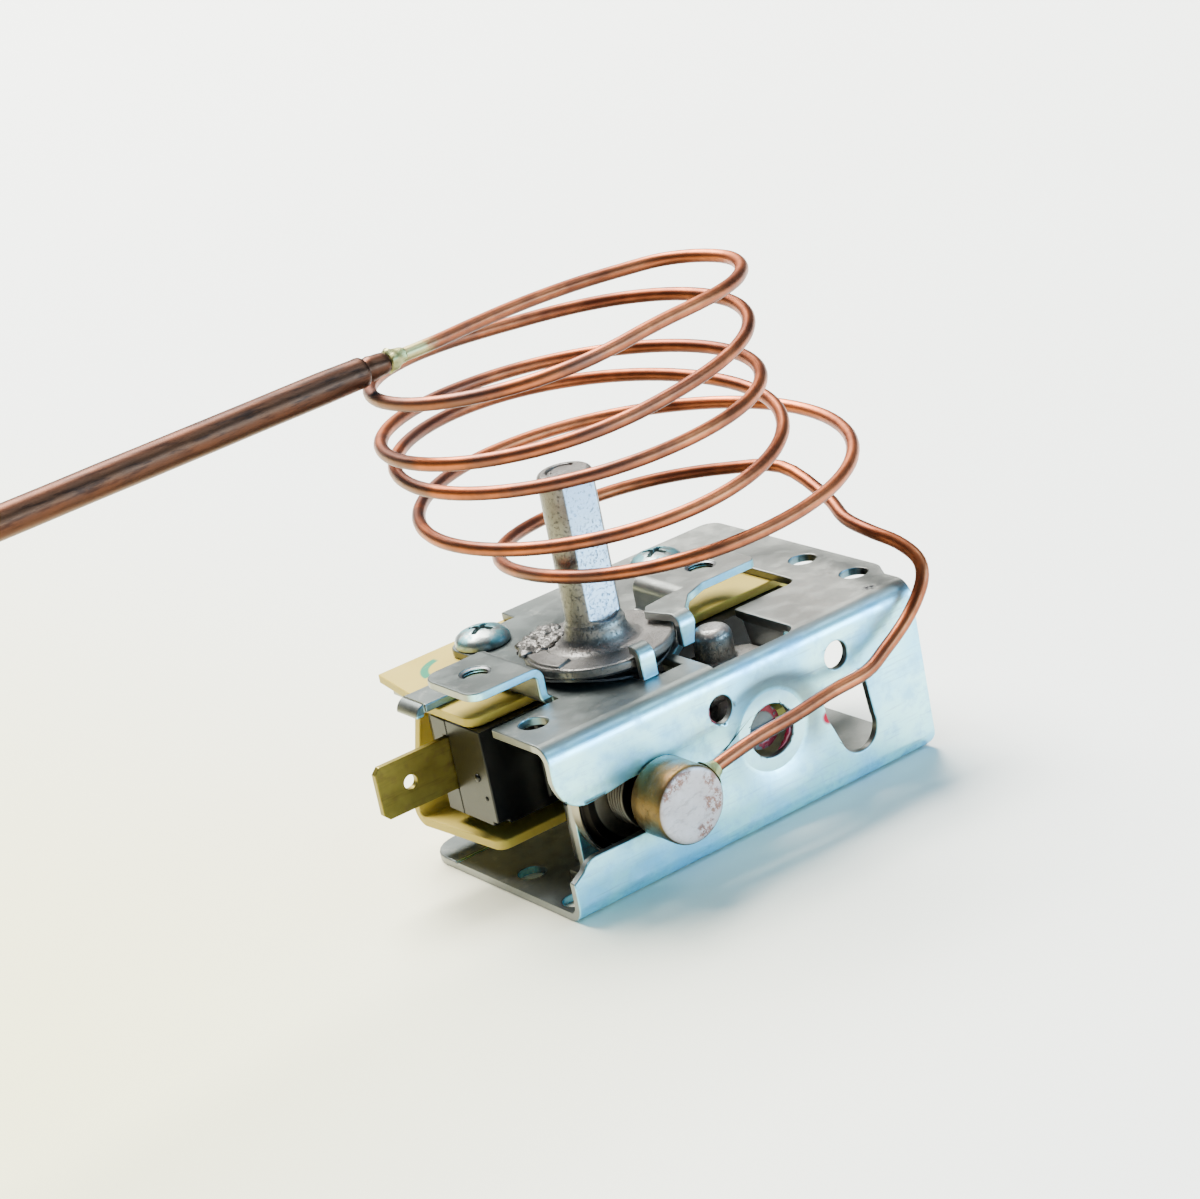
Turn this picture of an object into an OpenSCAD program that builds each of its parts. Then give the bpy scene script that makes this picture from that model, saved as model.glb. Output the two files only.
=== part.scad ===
// Oven thermostat: a folded steel channel that carries a cam shaft, a rocker, a snap switch and a
// liquid-filled power element, with a coiled copper capillary and a sensing bulb.
// Modules work from the front plate's lower left corner: X along the plate, Y back, Z up.
// place() then puts the origin on the shaft axis, at the underside of the bottom plate.

/* [Frame] */
// Length of the front plate
frame_len = 52; // [50:0.5:56]
// Depth of the top plate from front to back
frame_depth = 39; // [38:0.5:42]
// Height of the channel over both plates
frame_height = 21; // [20.6:0.1:22]
// Depth of the bottom plate
base_depth = 31; // [30:0.5:34]
// Thickness of the sheet steel
sheet = 1; // [0.9:0.05:1.2]
// Inside radius of the two long folds
fold_r = 1.2; // [0.8:0.1:1.4]
// Height of the mounting tabs above the top plate
tab_rise = 3.8; // [3.7:0.1:4.6]
// Diameter of the tapped holes in the mounting tabs
tab_hole_d = 3.5; // [2.8:0.1:4.2]
// Diameter of the plain holes in the plates
plain_hole_d = 3.3; // [2.6:0.1:3.4]
// Diameter of the adjusting hole in the pressed dish
dish_hole_d = 6.2; // [5.4:0.1:7]
// Depth of the pressed dish
dish_depth = 0.6; // [0.3:0.05:0.8]

/* [Cam shaft] */
// Distance of the shaft axis from the front plate's left edge
shaft_x = 18.8; // [18.4:0.1:19.2]
// Distance of the shaft axis behind the front face
shaft_y = 15.2; // [15:0.1:15.4]
// Diameter of the dial shaft
shaft_d = 6.35; // [5.8:0.05:6.6]
// Thickness of the shaft across its flat
shaft_across = 5.55; // [5.3:0.05:5.7]
// Height of the shaft's end above the top plate
shaft_rise = 22.8; // [18:0.2:30]
// Diameter of the cam flange
flange_d = 17.2; // [16.4:0.2:17.4]
// Thickness of the cam flange
flange_t = 1.3; // [1:0.1:1.3]
// Turn of the shaft from stop to stop, in degrees
shaft_turn = 300; // [240:10:300]
// Drop of the cam ramp under the flange at its deep end
cam_lift = 0.8; // [0.5:0.05:0.8]

/* [Switch] */
// Length of the switch housing
switch_len = 45.7; // [44:0.2:46.5]
// Height of the switch housing
switch_height = 11.7; // [11:0.1:11.8]
// Depth of the front half of the housing
switch_front_depth = 6.9; // [6.5:0.1:7.2]
// Depth of the back half of the housing
switch_back_depth = 3.1; // [2.8:0.1:3.4]
// Width of the blade terminals
blade_w = 6.35; // [4.8:0.05:6.35]
// Thickness of the blade terminals
blade_t = 0.8; // [0.5:0.05:0.9]
// Length of a blade outside the housing
blade_len = 10; // [8:0.1:12]
// Thickness of the cream insulating sheet
insulator_t = 1.1; // [0.6:0.05:1.1]

/* [Power element] */
// Diameter of the end cap
cap_d = 9; // [8:0.1:9.6]
// Length of the end cap in front of the plate
cap_len = 5.4; // [4.5:0.1:7]
// Diameter of the rear disc
disc_d = 16.6; // [15:0.1:16.8]
// Greatest diameter of the bellows
bellows_d = 8.6; // [7.4:0.1:9]
// Number of bellows corrugations
corrugations = 4; // [2:1:5]

/* [Capillary and bulb] */
// Outside diameter of the capillary
tube_d = 1.6; // [1.2:0.1:1.7]
// Outside diameter of the bulb
bulb_d = 3.6; // [3:0.1:6]
// Length of the bulb
bulb_len = 120; // [60:5:180]

/* [Hidden] */
$fn = 64;
// Overlap that joins two shapes of one solid, and the reach of a cutting tool past a face
join = 0.2;
past = 1;
// Plain, face-to-face and running clearances
gap = 0.3;
seat = 0.05;
run = 0.05;

// Levels and folds of the frame
plate_top = frame_height;
plate_under = frame_height - sheet;
fold_out = fold_r + sheet;
small_fold = 0.5;
tab_top = plate_top + tab_rise;
tab_under = tab_top - sheet;
top_over = 1.6;
base_right = frame_len - 0.8;

// Left mounting tab, its cut-out and the narrow tongue beside it
left_tab_y = [11.9, 22.4];
left_tab_tip = -0.6;
left_tab_root = 9.4;
left_tab_hole = [3.7, 17.6];
left_open_y = [10.4, 23.6];
tongue_y = [23.6, 28.3];
tongue_tip = -1.2;
// Right mounting tab and the window under it
right_tab_y = [14.6, 24];
right_tab_tip = 41.8;
right_tab_root = 29.8;
right_tab_hole = [37, 19.1];
window_left = 24;
window_step = [36, 12.6];
window_front = 1.3;
window_right = frame_len - 6.5;
// Hook and stay that hold the flange down; the hook's leg is also the stop for the flange's lug
hook_x = [25.7, 27.9];
hook_back = shaft_y - sqrt(pow(flange_d / 2 + 0.15, 2) - pow(hook_x[0] - shaft_x, 2));
hook_y = hook_back - sheet;
stay_x = [17.3, 19.4];
stay_y = shaft_y - flange_d / 2 - 0.35 - sheet;
stay_open_right = 22.6;
stay_open_back = 9.4;

// Cam shaft levels
flange_gap = 1.1;
flange_under = plate_top + flange_gap;
flange_top = flange_under + flange_t;
shaft_end = plate_top + shaft_rise;
journal_r = shaft_d / 2 - 0.4;
boss_r = 5.4;
boss_top = flange_top + 2.4;
flat_start = boss_top + 1.2;
flat_y = shaft_across - shaft_d / 2;
// Gate marks: start and span in degrees, inner and outer reach, height
gate_lumps = [[156, 46, 5.9, 8.3, 0.35], [96, 22, 5.2, 8, 0.3], [122, 26, 5.6, 8.2, 0.22]];
lug_angles = [-29, -8];
lug_out = 0.2;
lug_drop = 0.6;
ramp_in = 3.7;
ramp_out = 5.6;
ramp_ends = [-84, 236];
washer_in = 6.3;
washer_out = 8.2;
washer_t = 0.25;

// Follower pin, at 225 degrees round the shaft
pin_reach = 4.65;
pin_angle = 225;
pin_r = 0.8;
pin_x = shaft_x + pin_reach * cos(pin_angle);
pin_y = shaft_y + pin_reach * sin(pin_angle);
pin_head = flange_under - cam_lift - 0.12;
pin_swing = 1.2;
pin_shank_r = 0.6;

// Rocker, a bell crank on a pin along X
rocker_y = 7.6;
rocker_z = plate_under - 4.6;
rocker_pin_r = 1;
hub_r = 1.8;
hub_x = [window_left + gap, window_step[0] - gap];
ear_r = 2.2;
rocker_arm_top = plate_under - 2.6;
rocker_arm_t = 1.1;
rocker_boss = [30.8, 10.4];
rocker_boss_r = 2.3;
rocker_boss_top = plate_top + 0.3;
calibration_x = 29.7;
calibration_z = 11;
calibration_r = 1.25;
crank_y = [6.6, 8.6];
crank_r = 2.4;
spring_play = 0.95;

// Power element on its own axis along Y
element_x = 13.3;
element_z = frame_height / 2 - 0.3;
neck_r = 3;
slot_r = neck_r + 0.3;
disc_y = 4.6;
disc_t = 1.1;
cup_r = 4;
button_r = 1.6;
lever_face = 11.7;
lever_t = 1;
touch = 0.1;
button_end = lever_face - touch;

// Power lever on an upright post
post_x = 9.9;
post_y = lever_face + lever_t / 2;
post_r = 1;
lever_z = [element_z - 2.1, element_z + 2.6];
lever_end = 32;
barrel_r = 1.6;

// Switch housing, terminals and contacts
switch_x = 1.3;
switch_y = 15.6;
switch_top = plate_under - insulator_t - 2 * seat;
switch_z = switch_top - switch_height;
switch_mid = switch_z + switch_height / 2;
parting_y = switch_y + switch_front_depth;
switch_back_y = parting_y + switch_back_depth;
switch_right = switch_x + switch_len;
shell = 1.4;
blade_z = switch_mid + 0.6;
plunger_x = 24;
plunger_z = switch_mid - 2.4;
plunger_r = 1.2;
arm_y = switch_y + 4.9;
arm_t = 0.3;
arm_inner = 7.2;
contact_x = 14;
contact_t = 0.7;
contact_r = 1.6;
rivet_x = [switch_x + 4, switch_right - 4];
rivet_y = switch_y + shell + 0.8;
rivet_r = 1;

// Insulator, bracket and screws
insulator_y = switch_y - gap;
insulator_front = switch_y + 1.2;
wrap_behind = 4.5;
wrap_below = 2.7;
wrap_y = switch_back_y + wrap_behind;
wrap_z = switch_z - wrap_below;
bracket_t = 1;
bracket_y = wrap_y - seat - bracket_t;
bracket_x = [3.6, 45];
screw_y = 33;
screw_xs = [14.5, 40.4];
screw_r = 1.4;
screw_head_r = 3.3;
screw_head_h = 2.3;

// Where the capillary leaves the cap, and its lead to the coil. The first knots lie level with the
// element and all later ones keep their height above the top plate.
exit_y = -3.6;
exit_angle = 22;
exit_reach = cap_d / 2 + seat;
lead = [[element_x + exit_reach * cos(exit_angle), exit_y, element_z + exit_reach * sin(exit_angle)],
    [18.9, exit_y, element_z + 2.2], [24.3, -3.5, element_z + 3], [30, -3.5, element_z + 3.4],
    [35.7, -3, element_z + 3.8], [41.6, -2.5, element_z + 3.9], [45.1, -2.1, element_z + 5.2],
    [48.7, -1.9, plate_top - 3.6], [51.2, -1.8, plate_top - 1.4], [52.6, -1.6, plate_top + 0.7],
    [53.2, -0.4, plate_top + 2.4], [52.7, 2, plate_top + 4], [51.6, 5.2, plate_top + 5.2],
    [52.4, 10.6, plate_top + 5.6], [54.6, 16.4, plate_top + 6.6]];
// The coil: its axis, then the reach and the height at each quarter turn from the right-hand side
coil_x = 28.5;
coil_y = 21.5;
coil_reach = [28, 16, 14.7, 22.5, 29.5, 23.5, 21.5, 19.5, 21.5, 23, 23, 18,
    20, 20, 25, 16.5, 20, 16.5, 25.5, 15, 20.5, 13, 22, 17.5];
coil_level = [8.5, 9.5, 11.5, 13.5, 15.5, 17, 17, 18, 21, 23.5, 24, 25,
    26, 27, 28, 30, 32.5, 33.5, 35, 37.5, 37.5, 37, 38.5, 41];
coil_start = 8;
coil_stop = 1793;
coil_step = 15;
tube_sides = 8;
// The last turn straightens towards the bulb, which lies level
bulb_z = plate_top + 38;
tail = [[48, 23.9, bulb_z - 0.5], [45.2, 27.4, bulb_z - 0.5], [40.7, 29, bulb_z - 0.5],
    [35.9, 30.1, bulb_z - 0.5], [30.5, 30.2, bulb_z - 0.4], [24.9, 29.7, bulb_z - 0.3],
    [18.8, 28.6, bulb_z - 0.2], [13.6, 27.4, bulb_z - 0.1]];
bulb_tip = [8.7, 26.7, bulb_z];
bulb_turn = 184.8;
braze_len = 2.4;

function clamp_index(i, list) = max(0, min(len(list) - 1, i));
function smooth(a, b, c, d, t) = 0.5 * (2 * b + (c - a) * t + (2 * a - 5 * b + 4 * c - d) * t * t
    + (3 * b - a - 3 * c + d) * t * t * t);
// Value of a smooth curve through a list, at any place between its entries
function along(list, u) = let (i = min(len(list) - 2, floor(u)), t = u - i)
    smooth(list[clamp_index(i - 1, list)], list[i], list[i + 1], list[clamp_index(i + 2, list)], t);
function coil_point(a) = let (u = a / 90, r = along(coil_reach, u))
    [coil_x + r * cos(a), coil_y + r * sin(a), plate_top + along(coil_level, u)];
coil = [for (a = [coil_start:coil_step:coil_stop]) coil_point(a)];
route_knots = concat(lead, coil, tail, [bulb_tip]);
lead_count = len(lead);
// The lead's knots lie far apart, so each stretch there gets three rings
route = concat([for (u = [0:1 / 3:lead_count - 0.01]) along(route_knots, u)],
    [for (i = [lead_count:len(route_knots) - 1]) route_knots[i]]);

function unit(v) = v / norm(v);
function heading(list, i) = unit(list[clamp_index(i + 1, list)] - list[clamp_index(i - 1, list)]);
function sideways(t) = unit(cross(t, [0, 0, 1]));

// A round tube along a list of points
module sweep(list, r, sides) {
    count = len(list);
    points = [for (i = [0:count - 1]) let (t = heading(list, i), s = sideways(t), u = cross(s, t))
        for (k = [0:sides - 1]) let (a = 360 * k / sides) list[i] + r * (cos(a) * s + sin(a) * u)];
    walls = [for (i = [0:count - 2]) for (k = [0:sides - 1]) let (n = (k + 1) % sides)
        [i * sides + k, i * sides + n, (i + 1) * sides + n, (i + 1) * sides + k]];
    start = [for (k = [sides - 1:-1:0]) k];
    stop = [for (k = [0:sides - 1]) (count - 1) * sides + k];
    polyhedron(points, concat([start], walls, [stop]));
}

function arc(c, r, a0, a1, n = 6) = [for (i = [0:n]) let (a = a0 + (a1 - a0) * i / n)
    [c[0] + r * cos(a), c[1] + r * sin(a)]];

module place() {
    translate([-shaft_x, -shaft_y, 0]) children();
}

// Turns a shape drawn in X and Y, or a turned one, so that it runs back along Y
module along_y() {
    rotate([-90, 0, 0]) children();
}

module box(low, high) {
    translate(low) cube(high - low);
}

// A quarter of a fold between two straight stretches, drawn in one quadrant
module quarter_ring(r_in, r_out, quadrant) {
    intersection() {
        difference() {
            circle(r_out);
            circle(r_in);
        }
        rotate(90 * quadrant) square(r_out + past);
    }
}

// Extrudes a profile drawn in Y and Z along X
module along_x(from, to) {
    translate([from, 0, 0]) rotate([90, 0, 90]) linear_extrude(to - from) children();
}

// Extrudes a profile drawn in X and Z along Y
module along_depth(from, to) {
    translate([0, to, 0]) rotate([90, 0, 0]) linear_extrude(to - from) children();
}

module top_outline() {
    right = frame_len + top_over;
    polygon(concat(
        [[0, fold_out], [frame_len, fold_out], [frame_len, 4.4]],
        arc([right - 3, 8], 3, -35, 0),
        arc([right - 2, frame_depth - 2], 2, 0, 90),
        [[21.2, frame_depth], [21.2, frame_depth - 2.8]],
        arc([13.2, frame_depth - 4.8], 2, 90, 180),
        [[11.2, tongue_y[1]], [0, tongue_y[1]], [0, left_open_y[1]],
         [left_tab_root, left_open_y[1]], [left_tab_root, left_open_y[0]], [0, left_open_y[0]]]));
}

module base_outline() {
    corner = 4;
    polygon(concat(
        [[0, fold_out], [base_right, fold_out]],
        arc([base_right - 1.5, base_depth - 1.5], 1.5, 0, 90),
        arc([corner, base_depth - corner], corner, 90, 180)));
}

module channel() {
    translate([0, 0, plate_under]) linear_extrude(sheet) top_outline();
    linear_extrude(sheet) base_outline();
    along_x(0, frame_len) {
        translate([0, fold_out]) square([sheet, frame_height - 2 * fold_out]);
        translate([fold_out, plate_top - fold_out]) quarter_ring(fold_r, fold_out, 1);
        translate([fold_out, fold_out]) quarter_ring(fold_r, fold_out, 2);
    }
}

// A joggled tab: a raised stretch, a fold down and a fold out into the plate. It runs to the left.
module tab_profile(tip, root) {
    outer = small_fold + sheet;
    riser = root - outer;
    translate([tip, tab_under]) square([riser - small_fold - tip, sheet]);
    translate([riser - small_fold, tab_top - outer]) quarter_ring(small_fold, outer, 0);
    translate([riser, plate_top + small_fold]) square([sheet, tab_rise - outer - small_fold]);
    translate([root, plate_top + small_fold]) quarter_ring(small_fold, outer, 2);
}

module left_tab() {
    outer = small_fold + sheet;
    intersection() {
        along_depth(left_tab_y[0], left_tab_y[1]) tab_profile(left_tab_tip, left_tab_root);
        translate([0, 0, plate_under - past]) linear_extrude(tab_rise + sheet + 2 * past)
            polygon(concat(
                arc([left_tab_tip + 1.9, left_tab_y[0] + 1.9], 1.9, 180, 270),
                [[left_tab_root + outer, left_tab_y[0]], [left_tab_root + outer, left_tab_y[1]]],
                arc([left_tab_tip + 2.2, left_tab_y[1] - 2.2], 2.2, 90, 180)));
    }
}

module right_tab() {
    centre = right_tab_tip + right_tab_root;
    intersection() {
        along_depth(right_tab_y[0], right_tab_y[1]) translate([centre, 0]) mirror([1, 0])
            tab_profile(right_tab_root, right_tab_tip);
        translate([0, 0, plate_under - past]) linear_extrude(tab_rise + sheet + 2 * past)
            polygon(concat(
                [[right_tab_root - past, right_tab_y[0]]],
                arc([right_tab_tip - 1, right_tab_y[0] + 1], 1, 270, 360, 4),
                arc([right_tab_tip - 2.6, right_tab_y[1] - 2.6], 2.6, 0, 90),
                [[right_tab_root - past, right_tab_y[1]]]));
    }
}

// The hook reaches from the right tab over the flange, with a leg turned down at its front
module hook() {
    leg_top = tab_top - small_fold - sheet;
    translate([0, 0, tab_under]) linear_extrude(sheet)
        polygon([[hook_x[0], hook_y + small_fold + sheet], [hook_x[1], hook_y + small_fold + sheet],
            [30.6, 13.2], [right_tab_root + 4, right_tab_y[0]], [right_tab_root + 4, right_tab_y[0] + 1],
            [29, 15.4], [25.6, 14.9], [24.6, 13.8]]);
    intersection() {
        along_x(hook_x[0], hook_x[1]) {
            translate([hook_y + small_fold + sheet, leg_top])
                quarter_ring(small_fold, small_fold + sheet, 1);
            translate([hook_y, plate_top]) square([sheet, tab_rise - small_fold - sheet]);
        }
        along_depth(hook_y - past, hook_y + 3)
            polygon([[hook_x[0], plate_top - past], [hook_x[1] - 0.5, plate_top - past],
                [hook_x[1] - 0.5, plate_top + 0.4], [hook_x[1], leg_top], [hook_x[1], tab_top + past],
                [hook_x[0], tab_top + past]]);
    }
}

// The stay rises in front of the flange and folds back over its rim
module stay() {
    outer = small_fold + sheet;
    along_x(stay_x[0], stay_x[1]) {
        translate([stay_y, plate_under]) square([sheet, tab_rise + sheet - outer]);
        translate([stay_y + outer, tab_top - outer]) quarter_ring(small_fold, outer, 1);
        translate([stay_y + outer, tab_under]) square([0.5, sheet]);
    }
}

// The tongue beside the left tab, with its tip turned down over the insulator
module side_tongue() {
    outer = small_fold + sheet;
    along_depth(tongue_y[0] + 0.4, tongue_y[1]) {
        translate([tongue_tip + outer, plate_under]) square([outer - tongue_tip, sheet]);
        translate([tongue_tip + outer, plate_top - outer]) quarter_ring(small_fold, outer, 1);
    }
}

// Ears folded down at both sides of the window, to carry the rocker's pin. The right one is wider.
module rocker_ears() {
    for (ear = [[window_left - sheet, 0], [window_step[0], 1]]) {
        spread = ear[1] * 1.6;
        along_x(ear[0], ear[0] + sheet) {
            translate([rocker_y, rocker_z]) circle(ear_r);
            polygon([[rocker_y - ear_r, rocker_z], [rocker_y + ear_r, rocker_z],
                [rocker_y + ear_r + spread, plate_under + join],
                [rocker_y - ear_r - spread, plate_under + join]]);
        }
    }
}

module window_outline() {
    back = right_tab_y[1] + 0.6;
    polygon(concat(
        [[window_left, window_front]],
        arc([window_step[0] - 1.5, window_front + 1.5], 1.5, 270, 360),
        [[window_step[0], window_step[1]]],
        arc([window_right - 1.5, window_step[1] + 1.5], 1.5, 270, 360),
        [[window_right, back], [right_tab_root + small_fold + sheet, back],
         [right_tab_root + small_fold + sheet, right_tab_y[0] - 0.4], [window_left, 8.6]]));
}

// Slot for the power element, open at the plate's left end
module slot_outline() {
    translate([element_x, element_z]) circle(slot_r);
    translate([0, element_z]) polygon(concat(
        [[-past, -5.4], [0.2, -5.2]], arc([3.4, -slot_r - 2.2], 2.2, 150, 90, 5),
        [[element_x, -slot_r], [element_x, slot_r], [9.6, 3.3], [6.4, 2.9]],
        arc([4, 6.5], 3.75, 276, 200, 8), [[0.2, 5.9], [0, 6.8], [-past, 6.8]]));
}

module front_view_outline() {
    translate([41.2, 6.6]) circle(2.7);
    translate([42.3, 7]) circle(1.5);
    polygon([[36.9, 12.4], [37.6, 13.2], [42.4, 13.6], [43.2, 13], [43.8, 7], [41.2, 6.6],
        [38.7, 5.6], [37.2, 9.4]]);
}

module press_marks() {
    // Pressed band above the slot, widening round the dish
    along_depth(-past, 0.25) polygon([[-past, 14.8], [11.3, 14.6], [13.6, 15.1], [16.3, 14.8],
        [17.9, 13.2], [20, 12.2], [23, 11.9], [24.6, 12.6], [25.8, 14.4], [27, 16.2], [28.5, 17.1],
        [30.7, 17.1], [32.4, 16.2], [33.8, 14.6], [35, 12.4], [36, 9.8], [36.6, 7], [36.6, 5.2],
        [35.4, 3.9], [31, 3.6], [25, 5.2], [20.5, 8.2], [17, 10.2], [-past, 10.2]]);
    // Dish round the adjusting hole: a sloping wall and a flat floor
    translate([calibration_x, 0, calibration_z]) along_y() {
        cylinder(r1 = 6.4, r2 = 4.7, h = dish_depth);
        translate([0, 0, -past]) cylinder(r = dish_hole_d / 2, h = 4 * past);
    }
    // Coined line across the bottom plate
    box([-past, 24.4, sheet - 0.15], [6.5, 24.8, sheet + past]);
}

// Openings of the top plate, cut before the raised shapes are added over them
module plate_openings() {
    translate([0, 0, plate_under - past]) linear_extrude(sheet + 2 * past) {
        window_outline();
        polygon([[stay_x[0], stay_y + sheet - join], [stay_x[1], stay_y + sheet - join],
            [stay_x[1], stay_y], [stay_open_right, stay_y], [stay_open_right, stay_open_back],
            [stay_x[0], stay_open_back]]);
    }
}

module frame_holes() {
    translate([shaft_x, shaft_y, plate_under - past]) cylinder(r = journal_r + run, h = sheet + 2 * past);
    // The follower pin swings forward as the rocker tilts, so its hole is a short slot
    translate([pin_x, pin_y, plate_under - past]) linear_extrude(sheet + 2 * past) {
        for (y = [0, -pin_swing]) translate([0, y]) circle(pin_r + 0.12);
        translate([-pin_r - 0.12, -pin_swing]) square([2 * pin_r + 0.24, pin_swing]);
    }
    for (p = [[3.6, 7.4], [frame_len - 1.7, 17.3], [frame_len - 1.7, 8]])
        translate([p[0], p[1], plate_under - past])
            cylinder(d = plain_hole_d, h = sheet + 2 * past);
    for (x = screw_xs)
        translate([x, screw_y, plate_under - past]) cylinder(r = screw_r + 0.2, h = sheet + 2 * past);
    for (p = [[3.5, 14.4], [2.4, 4.2]])
        translate([p[0], p[1], -past]) cylinder(d = plain_hole_d, h = sheet + 2 * past);
    translate([left_tab_hole[0], left_tab_hole[1], tab_under - past])
        cylinder(d = tab_hole_d, h = sheet + 2 * past);
    translate([right_tab_hole[0], right_tab_hole[1], tab_under - past])
        cylinder(d = tab_hole_d, h = sheet + 2 * past);
    for (x = [23, 39.8]) translate([x, -past, plate_top - 4.6]) along_y()
        cylinder(d = plain_hole_d, h = sheet + 2 * past);
    along_depth(-past, sheet + past) slot_outline();
    along_depth(-past, sheet + past) front_view_outline();
    translate([window_left - sheet - past, rocker_y, rocker_z]) rotate([0, 90, 0])
        cylinder(r = rocker_pin_r + seat, h = window_step[0] - window_left + 2 * sheet + 2 * past);
    // Rounded lower corner at the front plate's right end
    along_depth(-past, sheet + past) difference() {
        translate([frame_len - 1.6, -past]) square([1.6 + past, 1.6 + past]);
        translate([frame_len - 1.6, 1.6]) circle(1.6);
    }
}

module frame() {
    color("silver") difference() {
        union() {
            difference() {
                channel();
                plate_openings();
            }
            // The back of the pressed dish
            translate([calibration_x, sheet - join, calibration_z]) along_y()
                cylinder(r1 = 6, r2 = 5.2, h = dish_depth + join);
            left_tab();
            right_tab();
            hook();
            stay();
            side_tongue();
            rocker_ears();
        }
        press_marks();
        frame_holes();
    }
}

module cam_shaft() {
    color("lightgray") translate([shaft_x, shaft_y, 0]) {
        difference() {
            union() {
                rotate_extrude() polygon(concat(
                    [[0, plate_under + seat], [journal_r, plate_under + seat], [journal_r, flange_under],
                     [flange_d / 2 - 0.2, flange_under], [flange_d / 2, flange_under + 0.2],
                     [flange_d / 2, flange_top - 0.2], [flange_d / 2 - 0.2, flange_top],
                     [boss_r, flange_top]],
                    [for (i = [1:6]) let (a = 15 * i)
                        [boss_r - (boss_r - 3.5) * sin(a), flange_top + 2 * (1 - cos(a))]],
                    [[3.5, boss_top], [shaft_d / 2, boss_top + 0.6]],
                    arc([shaft_d / 2 - 0.7, shaft_end - 0.7], 0.7, 0, 90, 4),
                    [[0, shaft_end]]));
                // Stop lug on the rim
                rotate([0, 0, lug_angles[0]]) rotate_extrude(angle = lug_angles[1] - lug_angles[0])
                    translate([washer_out + 0.15, flange_under - lug_drop])
                    square([flange_d / 2 + lug_out - washer_out - 0.15, flange_t + lug_drop - 0.15]);
                // Step at the rim and low lumps beside it, left by the casting gate
                for (lump = gate_lumps) rotate([0, 0, lump[0]]) rotate_extrude(angle = lump[1])
                    translate([lump[2], flange_top - join]) square([lump[3] - lump[2], join + lump[4]]);
            }
            // Flat along the shaft, ending in a rounded run-out
            along_depth(-flat_y - shaft_d, -flat_y) polygon(concat([[-shaft_d, shaft_end + past],
                [-shaft_d, flat_start + 0.9]], arc([0, flat_start + 3.3], 4, 217, 323, 8),
                [[shaft_d, flat_start + 0.9], [shaft_d, shaft_end + past]]));
            // Curved mark in the shaft's end
            translate([0, 0, shaft_end - 0.3]) rotate([0, 0, 20])
                rotate_extrude(angle = 150) translate([1.5, 0]) square([0.5, past]);
        }
        cam_ramp();
    }
}

// Helical face under the flange. It is lowest over the follower pin at rest and rises as it turns.
module cam_ramp() {
    steps = 32;
    span = ramp_ends[1] - ramp_ends[0];
    function height(a) = flange_under - cam_lift * (a - pin_angle + shaft_turn) / shaft_turn;
    points = [for (i = [0:steps]) let (a = ramp_ends[0] + span * i / steps, z = height(a))
        for (p = [[ramp_in, z], [ramp_out, z], [ramp_out, flange_under + join],
            [ramp_in, flange_under + join]])
            [p[0] * cos(a), p[0] * sin(a), p[1]]];
    walls = [for (i = [0:steps - 1]) for (k = [0:3]) let (n = (k + 1) % 4)
        [i * 4 + n, (i + 1) * 4 + n, (i + 1) * 4 + k, i * 4 + k]];
    polyhedron(points, concat([[3, 2, 1, 0]], walls,
        [[steps * 4, steps * 4 + 1, steps * 4 + 2, steps * 4 + 3]]));
}

module wave_washer() {
    steps = 48;
    swing = (flange_gap - washer_t) / 2 - 0.06;
    function level(a) = plate_top + flange_gap / 2 + swing * cos(3 * a + 90);
    points = [for (i = [0:steps - 1]) let (a = 360 * i / steps, z = level(a))
        for (p = [[washer_in, -1], [washer_out, -1], [washer_out, 1], [washer_in, 1]])
            [p[0] * cos(a), p[0] * sin(a), z + p[1] * washer_t / 2]];
    walls = [for (i = [0:steps - 1]) for (k = [0:3]) let (n = (k + 1) % 4, j = (i + 1) % steps)
        [i * 4 + k, j * 4 + k, j * 4 + n, i * 4 + n]];
    color("dimgray") translate([shaft_x, shaft_y, 0]) polyhedron(points, walls);
}

module follower_pin() {
    foot = rocker_arm_top - rocker_arm_t;
    color("gainsboro") translate([pin_x, pin_y, 0]) rotate_extrude() polygon([[0, foot - 0.3],
        [pin_shank_r, foot - 0.3], [pin_shank_r, rocker_arm_top + seat], [pin_r, rocker_arm_top + seat],
        [pin_r, pin_head - 0.3], [pin_r - 0.3, pin_head], [0, pin_head]]);
}

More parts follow.
